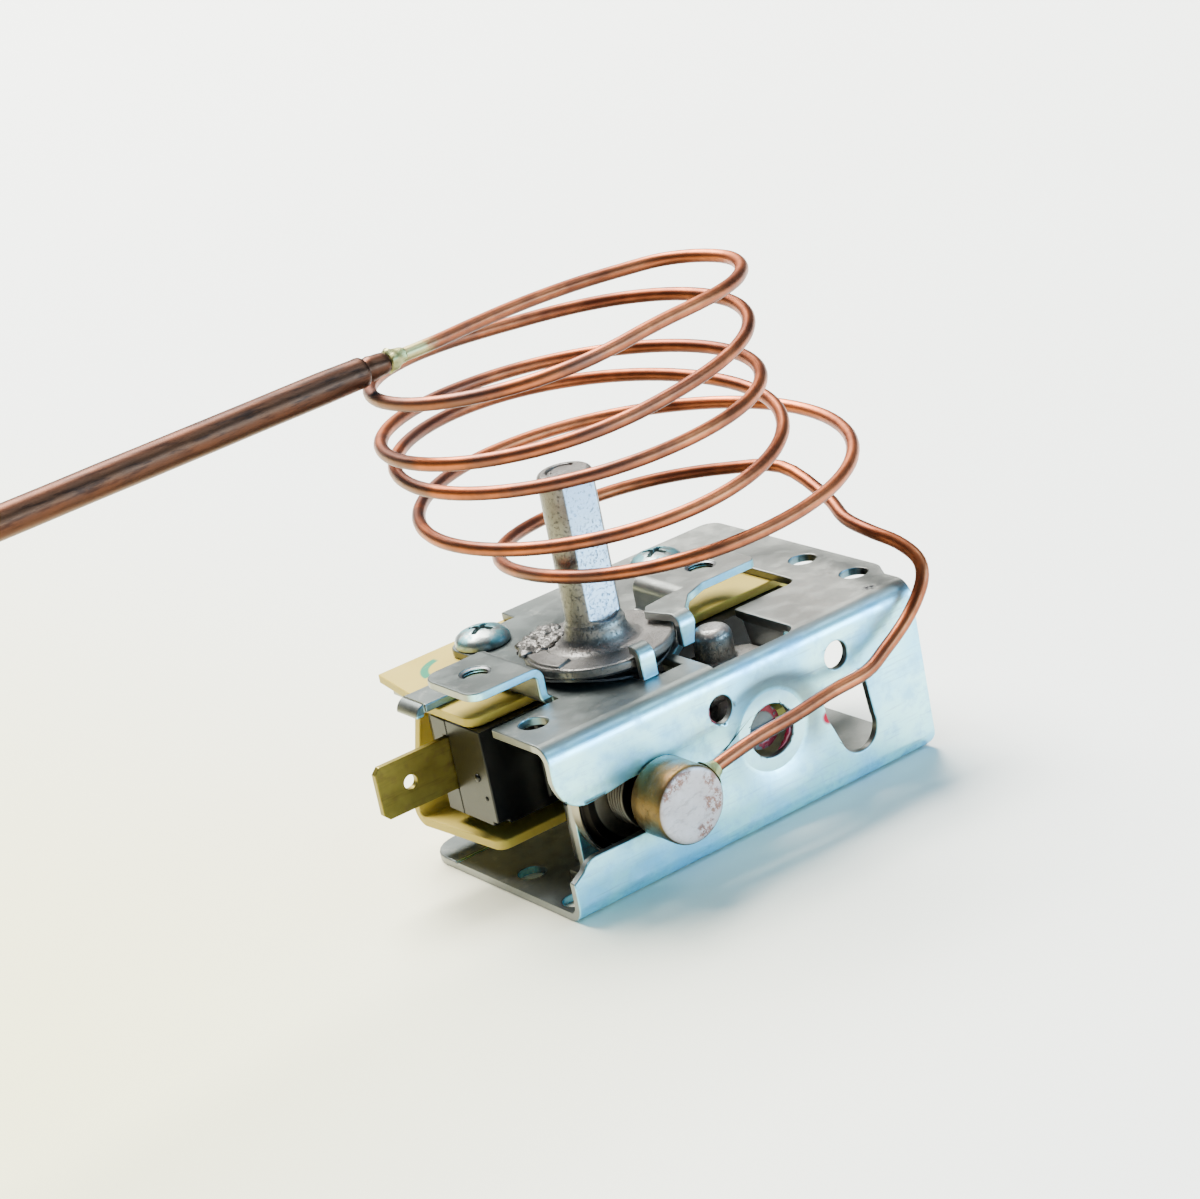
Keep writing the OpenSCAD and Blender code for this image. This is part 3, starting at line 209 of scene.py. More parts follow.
class Finish:
    """A material under construction, with one Principled shader."""

    def __init__(self, name, metallic=0.0, coat=0.0):
        self.material = bpy.data.materials.new(name)
        self.material.use_nodes = True
        self.tree = self.material.node_tree
        self.shader = next(n for n in self.tree.nodes if n.type == "BSDF_PRINCIPLED")
        self.shader.inputs["Metallic"].default_value = metallic
        self.shader.inputs["Coat Weight"].default_value = coat
        self.place = self.node("ShaderNodeTexCoord", {}, {}, "Object")

    def node(self, kind, settings, inputs, out=0):
        """Adds any node with its settings and inputs, and hands on one of its outputs."""
        made = self.tree.nodes.new(kind)
        for key, value in settings.items():
            setattr(made, key, value)
        for key, value in inputs.items():
            self.feed(made.inputs[key], value)
        return Shade(self, made.outputs[out])

    def feed(self, socket, value):
        """Links a Shade to the socket, or sets a number or colour on it."""
        if isinstance(value, Shade):
            self.tree.links.new(value.socket, socket)
        elif isinstance(value, tuple) and len(value) == 3 and socket.type == "RGBA":
            socket.default_value = (*value, 1)
        else:
            socket.default_value = value

    def grain(self, size, detail=3.0, rough=0.55, stretch=(1, 1, 1)):
        """Noise whose patches are about size millimetres across, drawn out along an axis."""
        moved = self.node("ShaderNodeVectorMath", {"operation": "MULTIPLY"},
                          {0: self.place, 1: tuple(1000 / size / s for s in stretch)})
        return self.node("ShaderNodeTexNoise", {},
                         {"Vector": moved, "Scale": 1.0, "Detail": detail, "Roughness": rough})

    def between(self, value, low, high, to_low=0.0, to_high=1.0):
        """Rises smoothly from to_low to to_high while the value goes from low to high."""
        return self.node("ShaderNodeMapRange", {"interpolation_type": "SMOOTHSTEP"},
                         {"Value": value, "From Min": low, "From Max": high,
                          "To Min": to_low, "To Max": to_high})

    def mix(self, share, a, b):
        """Colour a, with that share of colour b."""
        return self.node("ShaderNodeMix", {"data_type": "RGBA"},
                         {0: share, 6: a, 7: b}, 2)

    def along(self, axis):
        """Place along an axis of the frame, in metres from the shaft axis and the floor."""
        return self.node("ShaderNodeSeparateXYZ", {}, {0: self.place}, axis)

    def facing(self, axis):
        """How far the surface faces along an axis: 1 fully, -1 the other way."""
        normal = self.node("ShaderNodeNewGeometry", {}, {}, "Normal")
        return self.node("ShaderNodeSeparateXYZ", {}, {0: normal}, axis)

    def from_axis(self, x, z):
        """Distance in metres from an axis that runs along Y."""
        flat = self.node("ShaderNodeVectorMath", {"operation": "MULTIPLY"}, {0: self.place, 1: (1, 0, 1)})
        return self.node("ShaderNodeVectorMath", {"operation": "DISTANCE"},
                         {0: flat, 1: tuple(at(x, SHAFT_Y, z))}, "Value")

    def spot(self, centre, radius, soft=0.4):
        """1 within radius millimetres of a point, fading out."""
        away = self.node("ShaderNodeVectorMath", {"operation": "DISTANCE"},
                         {0: self.place, 1: tuple(centre)}, "Value")
        return self.between(away, radius * MM * (1 + soft), radius * MM * (1 - soft))

    def finish(self, colour, roughness, height=None, depth=0.02):
        """Feeds the shader; height is a 0..1 relief that is depth millimetres high."""
        self.feed(self.shader.inputs["Base Color"], colour)
        self.feed(self.shader.inputs["Roughness"], roughness)
        if height is not None:
            bump = self.node("ShaderNodeBump", {}, {"Height": height, "Distance": depth * MM,
                                                    "Strength": 1.0}, "Normal")
            self.feed(self.shader.inputs["Normal"], bump)
        return self.material


def times(light, colour):
    """The colour made lighter or darker."""
    return tuple(light * part for part in colour)


def dish_shading(f, front_reflection):
    """Painted reflection on the dished hole: its flare is painted darker than the plate, greyer towards the
    upper right and dark blue elsewhere, and its flat floor lighter.
    """
    away = f.from_axis(*DISH)
    edge = DISH_FLOOR * MM
    flare = f.between(away, edge, edge + 0.6 * MM) * f.between(away, edge + 3.8 * MM, edge + 1.1 * MM)
    upper = f.between(0.7 * f.along("X") + 0.7 * f.along("Z"), 14 * MM, 18.5 * MM)
    front_reflection = f.mix(flare * (0.45 + 0.35 * upper), front_reflection,
                   f.mix(upper, (0.12, 0.28, 0.42), (0.15, 0.17, 0.165)))
    return f.mix(f.between(away, edge + 0.1 * MM, edge - 0.1 * MM) * 0.5, front_reflection, (0.60, 0.97, 1.0))


def zinc_plate(name, warm=0.0):
    """Zinc-plated sheet with painted light: a light bluish painted reflection on faces turned to the front,
    painted grey shade on the other sides and darker painted shade where it lies level, with real stains
    there.
    """
    f = Finish(name, metallic=0.9)
    cloud = f.grain(11, 4)
    fine = f.grain(0.5, 3)
    drawn = f.grain(0.4, 3, stretch=(16, 1, 1))
    blotch = f.between(f.grain(3.0, 5, 0.65), 0.44, 0.68)
    level = f.between(f.facing("Z"), 0.35, 0.92)
    front = f.between(f.facing("Y"), -0.25, -0.75)
    # Painted reflection: faces turned to the front are coloured light blue, with real blotches and drawing
    # lines in it
    front_reflection = f.mix(f.between(cloud, 0.35, 0.65), (0.24, 0.70, 1.0), (0.50, 0.98, 1.0))
    front_reflection = f.mix(blotch * 0.55, front_reflection, (0.20, 0.46, 0.66))
    front_reflection = f.mix(f.between(drawn, 0.54, 0.74) * 0.45, front_reflection, (0.24, 0.42, 0.56))
    front_reflection = dish_shading(f, front_reflection)
    # Painted shade: faces turned neither to the front nor upwards are grey
    sides = f.mix(cloud, (0.20, 0.21, 0.20), (0.34, 0.35, 0.34))
    # Painted shade on level faces, lighter towards +X
    painted_level_shade = f.mix(f.between(f.along("X"), 0, 22 * MM), (0.09, 0.105, 0.10), (0.20, 0.205, 0.19))
    colour = f.mix(front, sides, front_reflection)
    colour = f.mix(level * (0.85 + 0.15 * cloud), colour, painted_level_shade)
    # Painted shade: faces within the top plate's thickness that are not level, that is its cut edges, are
    # darkened
    cut_edge_shade = f.between(f.along("Z"), 19.7 * MM, 19.9 * MM) * f.between(f.along("Z"), 21.0 * MM, 20.8 * MM)
    cut_edge_shade = cut_edge_shade * f.between(f.along("Y"), -12.5 * MM, -12.0 * MM) * (1 - level)
    colour = f.mix(cut_edge_shade * 0.8, colour, (0.09, 0.09, 0.08))
    stain = f.between(f.grain(2.0, 5, 0.7), 0.55, 0.75)
    colour = f.mix(level * stain * 0.5, colour, (0.28, 0.29, 0.26))
    speck = f.between(f.grain(0.28, 4, 0.7), 0.66, 0.74)
    colour = f.mix(speck * (0.25 + 0.4 * level), colour, (0.10, 0.11, 0.11))
    if warm:
        colour = f.mix(warm, colour, (0.40, 0.36, 0.25))
    chipped = f.spot(at(48.1, 2.7, 20.8), 0.75, 0.5) * f.between(f.grain(0.45, 4, 0.7), 0.38, 0.55)
    colour = f.mix(chipped, colour, (0.02, 0.02, 0.025))
    lacquered = f.spot(at(37.35, 0.5, 9.7), 0.95, 0.2)
    colour = f.mix(lacquered, colour, (0.30, 0.008, 0.03))
    rough = 0.27 + 0.14 * blotch + 0.10 * fine + 0.08 * level + 0.3 * chipped
    return f.finish(colour, rough, 0.4 * drawn + 0.35 * fine + 0.8 * cloud - 1.5 * chipped, 0.02)


def cast_zinc(name, light=1.0):
    """Die-cast zinc: dull grey and pitted, with a smoother flat on the shaft whose light bluish colour is a
    painted reflection.
    """
    f = Finish(name, metallic=0.85)
    cloud = f.grain(2.4, 5, 0.6)
    pits = f.between(f.grain(0.35, 4, 0.7), 0.52, 0.70)
    skin = f.grain(0.12, 2)
    flow = f.grain(0.6, 4, 0.65, stretch=(5, 1, 1))
    # The shaft's flat: really smoother, and painted light bluish as a reflection
    machined_flat_and_reflection = f.between(f.along("Z"), 26.2 * MM, 27.2 * MM) * f.between(f.facing("Y"), -0.90, -0.97)
    colour = f.mix(cloud, times(light, (0.085, 0.081, 0.074)), times(light, (0.25, 0.24, 0.225)))
    colour = f.mix(f.between(flow, 0.5, 0.75) * 0.4, colour, (0.10, 0.10, 0.10))
    colour = f.mix(pits * 0.5, colour, (0.07, 0.065, 0.06))
    colour = f.mix(machined_flat_and_reflection * (1 - 0.5 * pits), colour, (0.46, 0.70, 0.98))
    scar = f.spot(at(SHAFT_X - 2.9, SHAFT_Y + 5.9, 23.4), 3.4, 0.35)
    rough = 0.33 + 0.25 * pits + 0.10 * cloud - 0.08 * machined_flat_and_reflection
    relief = 0.5 * cloud - 0.7 * pits + 0.2 * skin + 0.5 * flow * (1 - machined_flat_and_reflection) + 3.0 * scar * flow
    return f.finish(colour, rough, relief, 0.05)


def drawn_copper(name, dark=0.0):
    """Copper tube: orange to brown oxide in long patches, a few dark stains, and painted shade on its
    underside.
    """
    f = Finish(name, metallic=1.0)
    long = f.grain(11, 4, 0.6)
    patch = f.grain(2.6, 4, 0.6)
    streak = f.grain(0.5, 4, 0.6, stretch=(9, 1, 1))
    skin = f.grain(0.25, 3)
    colour = f.mix(f.between(long, 0.35, 0.65), (0.16, 0.045, 0.022), (0.43, 0.125, 0.048))
    colour = f.mix(f.between(patch, 0.45, 0.75) * 0.5, colour, (0.15, 0.05, 0.025))
    left = f.between(f.along("X"), 16 * MM, -10 * MM) * f.between(long, 0.62, 0.38)
    colour = f.mix(left * 0.7, colour, (0.17, 0.085, 0.065))
    oxide = f.mix(f.between(streak, 0.46, 0.66), (0.060, 0.026, 0.015), (0.016, 0.010, 0.008))
    colour = f.mix(dark, colour, oxide)
    colour = f.mix(f.between(skin, 0.66, 0.76) * 0.5, colour, (0.05, 0.03, 0.025))
    # Painted shade: faces turned downwards are darkened
    underside_shade = f.between(f.facing("Z"), 0.1, -0.75)
    colour = f.mix(underside_shade * 0.75, colour, (0.085, 0.035, 0.02))
    smear = f.spot(at(*(BULB_TIP - 1.6 * BULB_WAY)), 2.3, 0.5) * f.between(patch, 0.30, 0.60)
    colour = f.mix(smear * 0.8, colour, (0.50, 0.46, 0.20))
    rough = 0.30 + 0.16 * patch + 0.08 * skin
    return f.finish(colour, rough, 0.4 * patch + 0.3 * skin + dark * streak, 0.012)


def black_moulding(name):
    """Black moulded housing with a fine eggshell skin, a little grey dust, and a painted grey sheen on the
    end faces turned to -X.
    """
    f = Finish(name)
    f.shader.inputs["Specular IOR Level"].default_value = 0.3
    skin = f.grain(0.25, 2)
    cloud = f.grain(4, 4)
    dust = f.between(f.grain(0.5, 5, 0.7), 0.58, 0.75)
    side = f.between(f.facing("X"), -0.6, -0.9)
    colour = f.mix(cloud, (0.001, 0.001, 0.0012), (0.003, 0.003, 0.0035))
    # Real grey dust, plus a painted sheen that lightens the faces turned to -X
    colour = f.mix(dust * 0.10 + side * 0.14, colour, (0.024, 0.022, 0.015))
    return f.finish(colour, 0.26 + 0.14 * cloud + 0.15 * dust, skin, 0.006)


def cream_fibre(name, marked=False):
    """Cream insulating sheet: faint fibres, browned in patches, and one green ink mark if marked."""
    f = Finish(name)
    f.shader.inputs["Specular IOR Level"].default_value = 0.2
    cloud = f.grain(7, 4)
    fibre = f.grain(0.5, 4, stretch=(6, 1, 1))
    speck = f.between(f.grain(0.4, 3, 0.7), 0.66, 0.78)
    colour = f.mix(cloud, (0.42, 0.31, 0.045), (0.56, 0.43, 0.085))
    colour = f.mix(f.between(fibre, 0.5, 0.8) * 0.3, colour, (0.45, 0.31, 0.11))
    colour = f.mix(f.between(f.grain(4, 5, 0.7), 0.60, 0.76) * 0.35, colour, (0.36, 0.22, 0.10))
    colour = f.mix(speck * 0.4, colour, (0.16, 0.10, 0.05))
    if marked:
        centre = at(10.4, 32.2, 19.95)
        ring = f.spot(centre, 4.75, 0.03) * (1 - f.spot(centre, 3.75, 0.04))
        inked = f.between(f.along("Y"), 17.2 * MM, 17.6 * MM) * f.between(f.along("X"), -8.8 * MM, -9.4 * MM)
        ink = ring * inked * f.between(fibre, 0.20, 0.40)
        colour = f.mix(ink, colour, (0.004, 0.20, 0.10))
    return f.finish(colour, 0.40 + 0.15 * cloud, 0.6 * fibre + 0.4 * cloud, 0.02)


def tarnished_blade(name):
    """Olive tarnished terminal metal, drawn along X."""
    f = Finish(name, metallic=0.9)
    drawn = f.grain(0.45, 3, stretch=(10, 1, 1))
    cloud = f.grain(3, 4)
    stain = f.between(f.grain(1.6, 5, 0.65), 0.50, 0.68)
    colour = f.mix(cloud, (0.13, 0.10, 0.016), (0.28, 0.23, 0.05))
    colour = f.mix(f.between(drawn, 0.5, 0.8) * 0.4, colour, (0.08, 0.06, 0.012))
    colour = f.mix(stain * 0.4, colour, (0.14, 0.09, 0.03))
    return f.finish(colour, 0.26 + 0.2 * cloud, drawn, 0.01)


def bright_steel(name, shade=0.5, rough=0.26):
    """Turned steel with a light brown stain here and there."""
    f = Finish(name, metallic=0.95)
    turned = f.grain(0.3, 3)
    cloud = f.grain(2.5, 4)
    colour = f.mix(cloud, times(shade, (0.7, 0.72, 0.74)), times(shade, (1, 1.03, 1.07)))
    colour = f.mix(f.between(turned, 0.6, 0.8) * 0.3, colour, (0.10, 0.09, 0.08))
    return f.finish(colour, rough + 0.15 * cloud, turned, 0.01)


def locked_screw(name):
    """Plated screw with blue-green thread locker wiped over its head."""
    f = Finish(name, metallic=0.85)
    cloud = f.grain(2.2, 4, 0.6)
    fine = f.grain(0.4, 4, 0.65)
    wiped = f.between(cloud, 0.44, 0.60) * f.between(f.facing("Z"), -0.2, 0.5)
    colour = f.mix(fine, (0.24, 0.27, 0.26), (0.42, 0.46, 0.44))
    colour = f.mix(wiped * 0.85, colour, (0.05, 0.20, 0.23))
    return f.finish(colour, 0.30 + 0.22 * wiped, fine, 0.03)


def lacquered_screw(name):
    """Dark adjusting screw with sealing lacquer left round its rim."""
    f = Finish(name, metallic=0.5)
    cloud = f.grain(1.2, 4, 0.6)
    rim = 1 - f.spot(at(DISH[0], 3, DISH[1]), 1.9, 0.2)
    lacquer = f.between(rim * f.between(cloud, 0.36, 0.56), 0.2, 0.7)
    colour = f.mix(cloud, (0.05, 0.06, 0.065), (0.13, 0.15, 0.15))
    colour = f.mix(lacquer, colour, (0.16, 0.008, 0.02))
    return f.finish(colour, 0.25 + 0.2 * cloud, cloud + lacquer, 0.05)


def lacquer(name):
    """Dark red sealing lacquer, glossy and uneven."""
    f = Finish(name, coat=0.6)
    cloud = f.grain(0.7, 4, 0.6)
    return f.finish(f.mix(cloud, (0.10, 0.003, 0.012), (0.32, 0.012, 0.04)), 0.2 + 0.2 * cloud, cloud, 0.04)


def aged_cap(name):
    """Power element's cap: pale mottled face speckled with rust, brassy grey side."""
    f = Finish(name, metallic=0.6)
    cloud = f.grain(1.8, 5, 0.65)
    rust = f.between(f.grain(1.6, 6, 0.75), 0.56, 0.70)
    speck = f.between(f.grain(0.5, 5, 0.75), 0.56, 0.68)
    face = f.between(f.facing("Y"), -0.6, -0.92)
    low = f.between(f.along("Z"), 12 * MM, 7 * MM)
    side = f.mix(cloud, (0.075, 0.046, 0.015), (0.27, 0.17, 0.055))
    side = f.mix(low * 0.6, side, (0.035, 0.028, 0.016))
    pale = f.mix(cloud, (0.34, 0.28, 0.28), (0.60, 0.55, 0.56))
    colour = f.mix(face, side, pale)
    near = rust * 0.25
    for place, size in RUST_SPOTS:
        near = near + f.spot(at(*place), size, 0.6)
    broken = f.between(f.grain(0.9, 6, 0.8), 0.42, 0.58)
    rusty = f.between(near * broken + 0.3 * speck, 0.15, 0.8)
    rust_colour = f.mix(speck, (0.20, 0.06, 0.025), (0.07, 0.035, 0.02))
    colour = f.mix(rusty * (0.30 + 0.55 * face), colour, rust_colour)
    scuffed = f.between(f.grain(0.7, 5, 0.7, stretch=(2.5, 1, 1)), 0.50, 0.66)
    colour = f.mix(scuffed * 0.35, colour, (0.11, 0.085, 0.06))
    f.feed(f.shader.inputs["Metallic"], 0.85 - 0.45 * face)
    return f.finish(colour, 0.32 + 0.2 * cloud + 0.2 * rust, cloud + 0.6 * rust + 0.3 * speck, 0.05)


def bellows_metal(name):
    """Bellows metal painted near black as shade, with painted highlights on the crests of its rings and on
    the rim of the element's disc.
    """
    f = Finish(name, metallic=0.95)
    cloud = f.grain(1.6, 4)
    out = f.from_axis(*ELEMENT)
    inner = f.between(out, 4.05 * MM, 4.2 * MM) * f.between(out, 6.0 * MM, 5.8 * MM)
    crest = inner + f.between(out, 7.9 * MM, 8.0 * MM)
    # Painted shade: near black everywhere but on the crests, which carry a painted highlight
    colour = f.mix(crest, (0.012, 0.010, 0.008), f.mix(cloud, (0.16, 0.14, 0.10), (0.36, 0.33, 0.27)))
    return f.finish(colour, 0.24 + 0.15 * cloud, cloud, 0.01)


def braze_metal(name):
    """Greenish gold braze with flux stains."""
    f = Finish(name, metallic=0.75)
    cloud = f.grain(0.8, 5, 0.7)
    fine = f.grain(0.3, 4, 0.7)
    colour = f.mix(cloud, (0.20, 0.21, 0.07), (0.52, 0.47, 0.20))
    colour = f.mix(f.between(fine, 0.55, 0.72) * 0.5, colour, (0.10, 0.16, 0.12))
    return f.finish(colour, 0.28 + 0.25 * cloud, cloud + 0.5 * fine, 0.06)


def contact_silver(name):
    """Contact metal, softly worn."""
    f = Finish(name, metallic=0.9)
    cloud = f.grain(1.2, 4)
    return f.finish(f.mix(cloud, (0.40, 0.31, 0.18), (0.56, 0.47, 0.32)), 0.3 + 0.2 * cloud, cloud, 0.01)


def red_plunger(name):
    """Dark red moulded plunger."""
    f = Finish(name)
    cloud = f.grain(1.5, 4)
    return f.finish(f.mix(cloud, (0.20, 0.02, 0.015), (0.30, 0.04, 0.03)), 0.4 + 0.15 * cloud, cloud, 0.01)


def add_piece(name, mesh, material, body, stands_for=()):
    """Puts a mesh in the scene on its body, in place of the CAD nodes it stands for."""
    piece = bpy.data.objects.new(name, mesh)
    bpy.context.scene.collection.objects.link(piece)
    piece.data.materials.clear()
    piece.data.materials.append(material)
    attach(piece, body)
    if stands_for:
        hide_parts(*stands_for)
    return piece


def smooth_with_creases(bm, crease):
    """Shades the mesh smooth, with a sharp line where faces meet at more than crease degrees."""
    for face in bm.faces:
        face.smooth = True
    for edge in bm.edges:
        edge.smooth = len(edge.link_faces) == 2 and edge.calc_face_angle(0) < radians(crease)


def between_edges(v, one, other):
    """The angle between two edges that leave the same point."""
    return (one.other_vert(v).co - v.co).angle(other.other_vert(v).co - v.co, pi)


def mark_creases(bm, shallow, fade_above):
    """Marks true corners for the bevel, and the named shallow folds as sharp lines only.

    Where two edges leave a point side by side the bevel would throw a spike, so it fades out
    towards such a point, if the point lies behind the fine skin and above fade_above."""
    weight = bm.edges.layers.float["bevel_weight_edge"]
    for face in bm.faces:
        face.smooth = True
    for edge in bm.edges:
        if len(edge.link_faces) != 2:
            continue
        corner = edge.calc_face_angle(0) > radians(CREASE)
        edge.smooth = not (corner or edge in shallow)
        edge[weight] = 1.0 if corner and edge not in shallow else 0.0
    pairs = [(between_edges(v, one, other), one, other) for v in bm.verts
             if place_of(v.co)[1] > FINE_SKIN and place_of(v.co)[2] > fade_above
             for one in v.link_edges for other in v.link_edges if one != other]
    for angle, one, other in pairs:
        if angle < SIDE_BY_SIDE:
            one[weight] = 0.0
    for _ in range(FADE_STEPS):
        for angle, one, other in pairs:
            if angle > STRAIGHT_ON and not one.smooth and not other.smooth:
                one[weight] = min(one[weight], other[weight] + 1 / FADE_STEPS)


def rounded_copy(node, material, body, slot, width, shaped=None, fade_above=0.0):
    """The CAD node's own shape with its edges broken, standing for it.

    shaped may change the mesh first, and returns the edges that stay sharp lines."""
    bm = bmesh.new()
    bm.from_mesh(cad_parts[node].data)
    bmesh.ops.remove_doubles(bm, verts=bm.verts[:], dist=2e-6)
    bmesh.ops.dissolve_limit(bm, angle_limit=radians(0.6), verts=bm.verts[:], edges=bm.edges[:])
    # Made before shaped runs, because a new layer makes the edges that it returns invalid
    bm.edges.layers.float.new("bevel_weight_edge")
    shallow = shaped(bm) if shaped else ()
    mark_creases(bm, shallow, fade_above)
    mesh = bpy.data.meshes.new(node + "_shape")
    bm.to_mesh(mesh)
    bm.free()
    piece = add_piece(node + "_finished", mesh, material, body, (node,))
    bevel = piece.modifiers.new("broken edges", "BEVEL")
    bevel.limit_method = "WEIGHT"
    bevel.width = width * MM
    bevel.segments = 2
    bevel.profile = 0.5
    bevel.use_clamp_overlap = False
    even = piece.modifiers.new("flat faces stay flat", "WEIGHTED_NORMAL")
    even.keep_sharp = True


def clamped(value):
    """The value, kept between 0 and 1."""
    return max(0.0, min(1.0, value))


def from_dish(x, z):
    """Distance from the middle of the dished hole."""
    return ((x - DISH[0]) ** 2 + (z - DISH[1]) ** 2) ** 0.5


def pressed_depth(x, z):
    """How far the front plate is pressed back: the dish's flat floor, its flare, and the band."""
    flare = clamped(1 - (from_dish(x, z) - DISH_FLOOR) / DISH_FLARE)
    share = clamped((BAND_TOP - BAND_FALL * x - z) / BAND_TOP_RUN)
    share = share * clamped((BAND_RIGHT - x) / BAND_RIGHT_RUN)
    band = share * share * (3 - 2 * share) * clamped((z - BAND_FOOT) / BAND_FOOT_RUN)
    return max(DISH_DEPTH * flare ** 2, BAND_DEPTH * band)


def front_skin(bm):
    """Faces of the front plate's outer side, pressings included."""
    behind = at(0, SKIN_DEPTH, 0).y
    return [face for face in bm.faces if face.normal.y < -0.5 and face.calc_center_median().y < behind]


def soften_pressing(bm):
    """Turns the solid's stepped pressings on the front plate into the soft forms of a press tool."""
    cuts = [((1, 0, 0), (PRESSED_RIGHT - CUT_STEP * k, 0, 0), PAST_THE_PLATE) for k in range(UPRIGHT_CUTS)]
    cuts += [((0, 0, 1), (0, 0, FIRST_LEVEL_CUT + CUT_STEP * k), PRESSED_RIGHT) for k in range(LEVEL_CUTS)]
    for normal, place, limit in cuts:
        skin = [face for face in front_skin(bm) if place_of(face.calc_center_median())[0] < limit]
        around = set(skin)
        for face in skin:
            around.update(face.edges)
            around.update(face.verts)
        bmesh.ops.bisect_plane(bm, geom=list(around), dist=1e-7, plane_co=at(*place), plane_no=normal)
    for v in {v for face in front_skin(bm) for v in face.verts}:
        x, y, z = place_of(v.co)
        if y < SKIN_DEPTH and PRESSED_FOOT < z < PRESSED_TOP and x < PRESSED_RIGHT:
            v.co.y = at(0, pressed_depth(x, z), 0).y
    bmesh.ops.remove_doubles(bm, verts=bm.verts[:], dist=4e-6)
    bmesh.ops.dissolve_degenerate(bm, edges=bm.edges[:], dist=4e-6)
    bm.normal_update()
    # The crease where the dish's flare meets its flat floor stays a sharp line
    ring = set()
    for edge in bm.edges:
        x, y, z = place_of((edge.verts[0].co + edge.verts[1].co) / 2)
        if y < 0.7 and abs(from_dish(x, z) - DISH_FLOOR) < 0.1 and edge.calc_face_angle(0) > radians(9):
            ring.add(edge)
    return ring


def turned(name, profile, axis_from, axis_to, material, body, slot, stands_for=(), steps=48, shaped=None):
    """A turned piece: profile holds (radius, distance) in millimetres along the axis."""
    bm = bmesh.new()
    points = [bm.verts.new((r * MM, 0, d * MM)) for r, d in profile]
    edges = [bm.edges.new(pair) for pair in zip(points, points[1:])]
    bmesh.ops.spin(bm, geom=points + edges, cent=(0, 0, 0), axis=(0, 0, 1), dvec=(0, 0, 0),
                   angle=2 * pi, steps=steps, use_merge=True, use_duplicate=False)
    bmesh.ops.remove_doubles(bm, verts=bm.verts[:], dist=1e-6)
    bmesh.ops.recalc_face_normals(bm, faces=bm.faces[:])
    if shaped:
        shaped(bm)
    way = (axis_to - axis_from).normalized()
    place = Matrix.Translation(axis_from) @ way.to_track_quat("Z", "Y").to_matrix().to_4x4()
    bmesh.ops.transform(bm, matrix=place, verts=bm.verts[:])
    smooth_with_creases(bm, 40)
    mesh = bpy.data.meshes.new(name)
    bm.to_mesh(mesh)
    bm.free()
    return add_piece(name, mesh, material, body, stands_for)


def roughened(size, depth):
    """Moves each point along its normal by noise, size and depth in millimetres."""
    def shape(bm):
        bm.normal_update()
        for v in bm.verts:
            v.co += v.normal * depth * MM * noise.noise(v.co * 1000 / size)
    return shape


def on_curve(points, u):
    """The smooth curve through the points, the same one that the solid follows."""
    i = min(len(points) - 2, floor(u))
    t = u - i
    a, b, c, d = (points[max(0, min(len(points) - 1, k))] for k in range(i - 1, i + 3))
    return 0.5 * (2 * b + (c - a) * t + (2 * a - 5 * b + 4 * c - d) * t * t
                  + (3 * b - a - 3 * c + d) * t ** 3)


def tube_route():
    """The capillary's centre line in millimetres: lead, coil and tail through the same knots as the solid."""
    knots = [Vector(p) for p in LEAD]
    start, stop, step = COIL_TURN
    for turn in range(start, stop + 1, step):
        reach = on_curve(COIL_REACH, turn / QUARTER_TURN)
        knots.append(Vector((COIL_AXIS[0] + reach * cos(radians(turn)),
                             COIL_AXIS[1] + reach * sin(radians(turn)),
                             on_curve(COIL_LEVEL, turn / QUARTER_TURN))))
    knots += [Vector(p) for p in TAIL] + [BULB_TIP]
    count = (len(knots) - 1) * POINTS_PER_KNOT
    return [on_curve(knots, k / POINTS_PER_KNOT) for k in range(count)] + [BULB_TIP]


def add_capillary(copper):
    """The capillary as a round tube along its centre line."""
    data = bpy.data.curves.new("capillary", "CURVE")
    data.dimensions = "3D"
    data.bevel_depth = TUBE_R * MM
    data.bevel_resolution = 5
    data.use_fill_caps = True
    route = tube_route()
    line = data.splines.new("POLY")
    line.points.add(len(route) - 1)
    for point, place in zip(line.points, route):
        point.co = (*at(*place), 1)
    line.use_smooth = True
    piece = bpy.data.objects.new("capillary", data)
    bpy.context.scene.collection.objects.link(piece)
    data.materials.append(copper)
    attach(piece, "chassis")
    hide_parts("capillary_tube")


def dented_neck(bm):
    """Flattens the swaged neck a little from two sides and adds hand-made unevenness."""
    for v in bm.verts:
        along = v.co.z / MM
        if along < NECK_LEN:
            v.co.x *= 1 + 0.05 * sin(along * 2.1)
            v.co.y *= 1 - 0.06 * sin(along * 1.7 + 0.6)
        v.co += Vector((v.co.x, v.co.y, 0)) * 0.015 * noise.noise(v.co * 700)


def add_bulb(copper, braze):
    """The bulb with its swaged neck and round end, and the braze bead that joins it to the capillary."""
    start = BULB_TIP + BULB_WAY * (BRAZE_LEN + 0.05)
    straight = BULB_LEN - BULB_FULL_FROM - BULB_R
    profile = [(0, 0), (1.0, 0), (1.18, 0.1), (1.3, 0.35), (1.36, 0.9), (1.33, 1.6), (1.37, 2.2), (1.3, 2.6),
               (1.22, 2.8), (1.2, 3.0), (1.3, 3.1), (1.52, 3.2), (1.69, 3.4), (1.77, 3.7)]
    profile += [(BULB_R, BULB_FULL_FROM + k * straight / 24) for k in range(24)]
    profile += [(BULB_R * cos(radians(a)), BULB_LEN - BULB_R + BULB_R * sin(radians(a)))
                for a in range(0, 90, 15)]
    profile += [(0, BULB_LEN)]
    turned("bulb_shell", profile, at(*start), at(*(start + BULB_WAY)), copper, "chassis", "copper",
           ("bulb",), shaped=dented_neck)
    bead = [(0, 0.05), (0.86, 0.05), (0.95, 0.3), (1.0, 0.8), (1.18, 1.4), (1.34, 1.9), (1.28, 2.25),
            (1.1, BRAZE_LEN), (0, BRAZE_LEN)]
    turned("bulb_bead", bead, at(*BULB_TIP), at(*(BULB_TIP + BULB_WAY)), braze, "chassis", "braze",
           ("bulb_braze",), shaped=roughened(0.9, 0.28))


